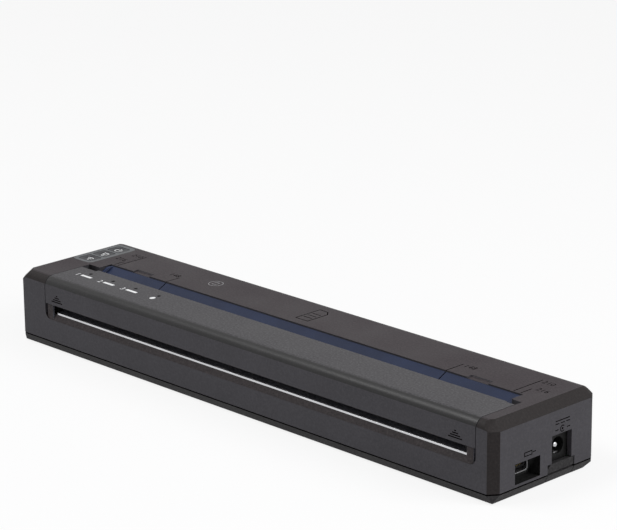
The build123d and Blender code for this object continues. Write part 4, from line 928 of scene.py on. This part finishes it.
class PRINTER_OT_fasteners(PieceOperator, bpy.types.Operator):
    """Build the screws with their cross recesses and the rubber feet"""
    bl_idname = "printer.fasteners"
    bl_label = "Screws and feet"

    def execute(self, context):
        fine = context.scene.printer_shell.fine_softness
        for node, name in (("base_screws", "case_screws"), ("board_screws", "board_fixings"),
                           ("head_bracket_screws", "beam_screws")):
            dress(node, name, "screw_steel", fine, [self.recesses(node)])
        dress("rubber_feet", "foot_pads", "ground_rubber", fine * 3)
        return {"FINISHED"}

    def recesses(self, node):
        """Cross-shaped tools at the heads, which are the lower ends of the screws."""
        tools = bmesh.new()
        for centre, bottom in self.heads(node):
            made = bmesh.ops.create_cube(tools, size=0.45)
            block = {face for vert in made["verts"] for face in vert.link_faces}
            sides = [face for face in block if abs(face.normal.z) < 0.5]
            arms = bmesh.ops.extrude_discrete_faces(tools, faces=sides)["faces"]
            for face in arms:
                bmesh.ops.translate(tools, verts=face.verts, vec=face.normal * 0.6)
            every = {vert for face in block | set(arms) if face.is_valid for vert in face.verts}
            every |= {vert for vert in made["verts"] if vert.is_valid}
            bmesh.ops.translate(tools, verts=list(every), vec=(centre.x, centre.y, bottom + 0.1))
        return cutter_object(tools, Matrix.Scale(MM, 4), finish("groove_shade"))

    def heads(self, node):
        """Middle and lower end of each screw in a node, in millimetres."""
        work = cad_copy(node)
        left = set(work.verts)
        found = []
        while left:
            island = [left.pop()]
            for vert in island:
                for edge in vert.link_edges:
                    other = edge.other_vert(vert)
                    if other in left:
                        left.remove(other)
                        island.append(other)
            places = [vert.co / MM for vert in island]
            middle = (Vector(map(min, zip(*places))) + Vector(map(max, zip(*places)))) / 2
            found.append((middle, min(place.z for place in places)))
        work.free()
        return found


class PRINTER_OT_stage(PieceOperator, bpy.types.Operator):
    """Set the floor, the lamps, the sky and the camera"""
    bl_idname = "printer.stage"
    bl_label = "Stage"

    def execute(self, context):
        settings = context.scene.printer_stage
        self.lay_floor(context.scene, settings)
        self.light_sky(context.scene, settings)
        self.hang_lamp("key_lamp", (-0.45, -0.55, 1.05), (0.7, 0.5), settings.key_power)
        self.hang_lamp("side_lamp", (0.75, 0.25, 0.55), (0.5, 0.4), settings.side_power)
        self.aim_camera(context.scene)
        context.scene.view_settings.view_transform = "Standard"
        return {"FINISHED"}

    def lay_floor(self, scene, settings):
        """A wide pale floor that shows white from above, keeps the shadow and is clear from below."""
        work = bmesh.new()
        bmesh.ops.create_grid(work, x_segments=8, y_segments=8, size=12.0,
                              matrix=Matrix.Translation((0, 0, -0.0001)))
        mesh = bpy.data.meshes.new("floor")
        work.to_mesh(mesh)
        work.free()
        material, tree, shader, place = new_finish("floor_paper")
        mottle = grain_field(tree, place, 0.05, 3.0)
        tree.links.new(blend(tree, mottle, shaded(settings.floor_colour, 0.98), settings.floor_colour),
                       shader.inputs["Base Color"])
        shader.inputs["Roughness"].default_value = 0.9
        shader.inputs["Specular IOR Level"].default_value = 0.1
        glow = tree.nodes.new("ShaderNodeEmission")
        glow.inputs["Color"].default_value = (1, 1, 1, 1)
        share = remap(tree, self.sees_backdrop(tree), 0.0, 1.0, 0.0, 0.85)
        mix = tree.nodes.new("ShaderNodeMixShader")
        tree.links.new(share, mix.inputs["Fac"])
        tree.links.new(shader.outputs["BSDF"], mix.inputs[1])
        tree.links.new(glow.outputs["Emission"], mix.inputs[2])
        side = tree.nodes.new("ShaderNodeNewGeometry")
        both = tree.nodes.new("ShaderNodeMixShader")
        tree.links.new(side.outputs["Backfacing"], both.inputs["Fac"])
        tree.links.new(mix.outputs["Shader"], both.inputs[1])
        tree.links.new(tree.nodes.new("ShaderNodeBsdfTransparent").outputs["BSDF"], both.inputs[2])
        tree.links.new(both.outputs["Shader"], tree.nodes["Material Output"].inputs["Surface"])
        mesh.materials.append(material)
        floor = bpy.data.objects.new("floor", mesh)
        scene.collection.objects.link(floor)

    def light_sky(self, scene, settings):
        """Even soft light from all round, white where the camera sees it."""
        world = bpy.data.worlds.new("studio")
        world.use_nodes = True
        scene.world = world
        tree = world.node_tree
        light = tree.nodes["Background"]
        light.inputs["Color"].default_value = (1, 1, 1, 1)
        tree.links.new(remap(tree, self.sees_backdrop(tree), 0.0, 1.0, settings.sky, 1.0),
                       light.inputs["Strength"])

    def sees_backdrop(self, tree):
        """One where the camera, or a ray through gloss or glass, meets the backdrop."""
        paths = tree.nodes.new("ShaderNodeLightPath")
        total = paths.outputs["Is Camera Ray"]
        for kind in ("Is Glossy Ray", "Is Transmission Ray"):
            joined = tree.nodes.new("ShaderNodeMath")
            joined.operation = "MAXIMUM"
            tree.links.new(total, joined.inputs[0])
            tree.links.new(paths.outputs[kind], joined.inputs[1])
            total = joined.outputs["Value"]
        return total

    def hang_lamp(self, name, place, size, power):
        """A large soft lamp that looks at the printer."""
        lamp = bpy.data.lights.new(name, "AREA")
        lamp.shape = "RECTANGLE"
        lamp.size, lamp.size_y = size
        lamp.energy = power
        holder = bpy.data.objects.new(name, lamp)
        holder.location = place
        holder.rotation_euler = (-Vector(place)).to_track_quat("-Z", "Y").to_euler()
        bpy.context.scene.collection.objects.link(holder)

    def aim_camera(self, scene):
        """The camera of the photograph."""
        camera = bpy.data.cameras.new("view_camera")
        camera.sensor_width = 36.0
        camera.lens = 159.25
        camera.clip_start = 0.01
        holder = bpy.data.objects.new("view_camera", camera)
        right = Vector((0.698567, 0.715480, -0.009627))
        up = Vector((-0.205549, 0.213540, 0.955066))
        back = Vector((0.685386, -0.665198, 0.296238))
        turn = Matrix((right, up, back)).transposed().to_4x4()
        holder.matrix_world = Matrix.Translation((0.70117, -0.67002, 0.35338)) @ turn
        scene.collection.objects.link(holder)
        scene.camera = holder


class PRINTER_PT_panel(bpy.types.Panel):
    """Steps that build the printer"""
    bl_idname = "PRINTER_PT_panel"
    bl_label = "Travel Printer"
    bl_space_type = "VIEW_3D"
    bl_region_type = "UI"
    bl_category = "Printer"

    def draw(self, context):
        for operator in STEPS:
            self.layout.operator(operator.bl_idname)
        for settings in (context.scene.printer_shell, context.scene.printer_marks,
                         context.scene.printer_metal, context.scene.printer_stage):
            box = self.layout.box()
            for name in settings.bl_rna.properties.keys():
                if name not in ("rna_type", "name"):
                    box.prop(settings, name)


SETTINGS = {"printer_shell": ShellSettings, "printer_marks": MarkSettings,
            "printer_metal": MetalSettings, "printer_stage": StageSettings}
STEPS = (PRINTER_OT_finishes, PRINTER_OT_case_shells, PRINTER_OT_release_cover, PRINTER_OT_feed_guide,
         PRINTER_OT_exit_slot, PRINTER_OT_keys, PRINTER_OT_printed_marks, PRINTER_OT_sockets,
         PRINTER_OT_print_head, PRINTER_OT_drive, PRINTER_OT_electrics, PRINTER_OT_fasteners,
         PRINTER_OT_stage)


def register():
    """Adds the settings, the operators and the panel."""
    for name, group in SETTINGS.items():
        bpy.utils.register_class(group)
        setattr(bpy.types.Scene, name, PointerProperty(type=group))
    for operator in STEPS:
        bpy.utils.register_class(operator)
    bpy.utils.register_class(PRINTER_PT_panel)


def unregister():
    """Takes the settings, the operators and the panel away."""
    bpy.utils.unregister_class(PRINTER_PT_panel)
    for operator in reversed(STEPS):
        bpy.utils.unregister_class(operator)
    for name, group in SETTINGS.items():
        delattr(bpy.types.Scene, name)
        bpy.utils.unregister_class(group)


def main():
    """Builds the printer."""
    register()
    bpy.ops.printer.finishes()
    bpy.ops.printer.case_shells()
    bpy.ops.printer.release_cover()
    bpy.ops.printer.feed_guide()
    bpy.ops.printer.exit_slot()
    bpy.ops.printer.keys()
    bpy.ops.printer.printed_marks()
    bpy.ops.printer.sockets()
    bpy.ops.printer.print_head()
    bpy.ops.printer.drive()
    bpy.ops.printer.electrics()
    bpy.ops.printer.fasteners()
    bpy.ops.printer.stage()


if __name__ == "__main__":
    main()
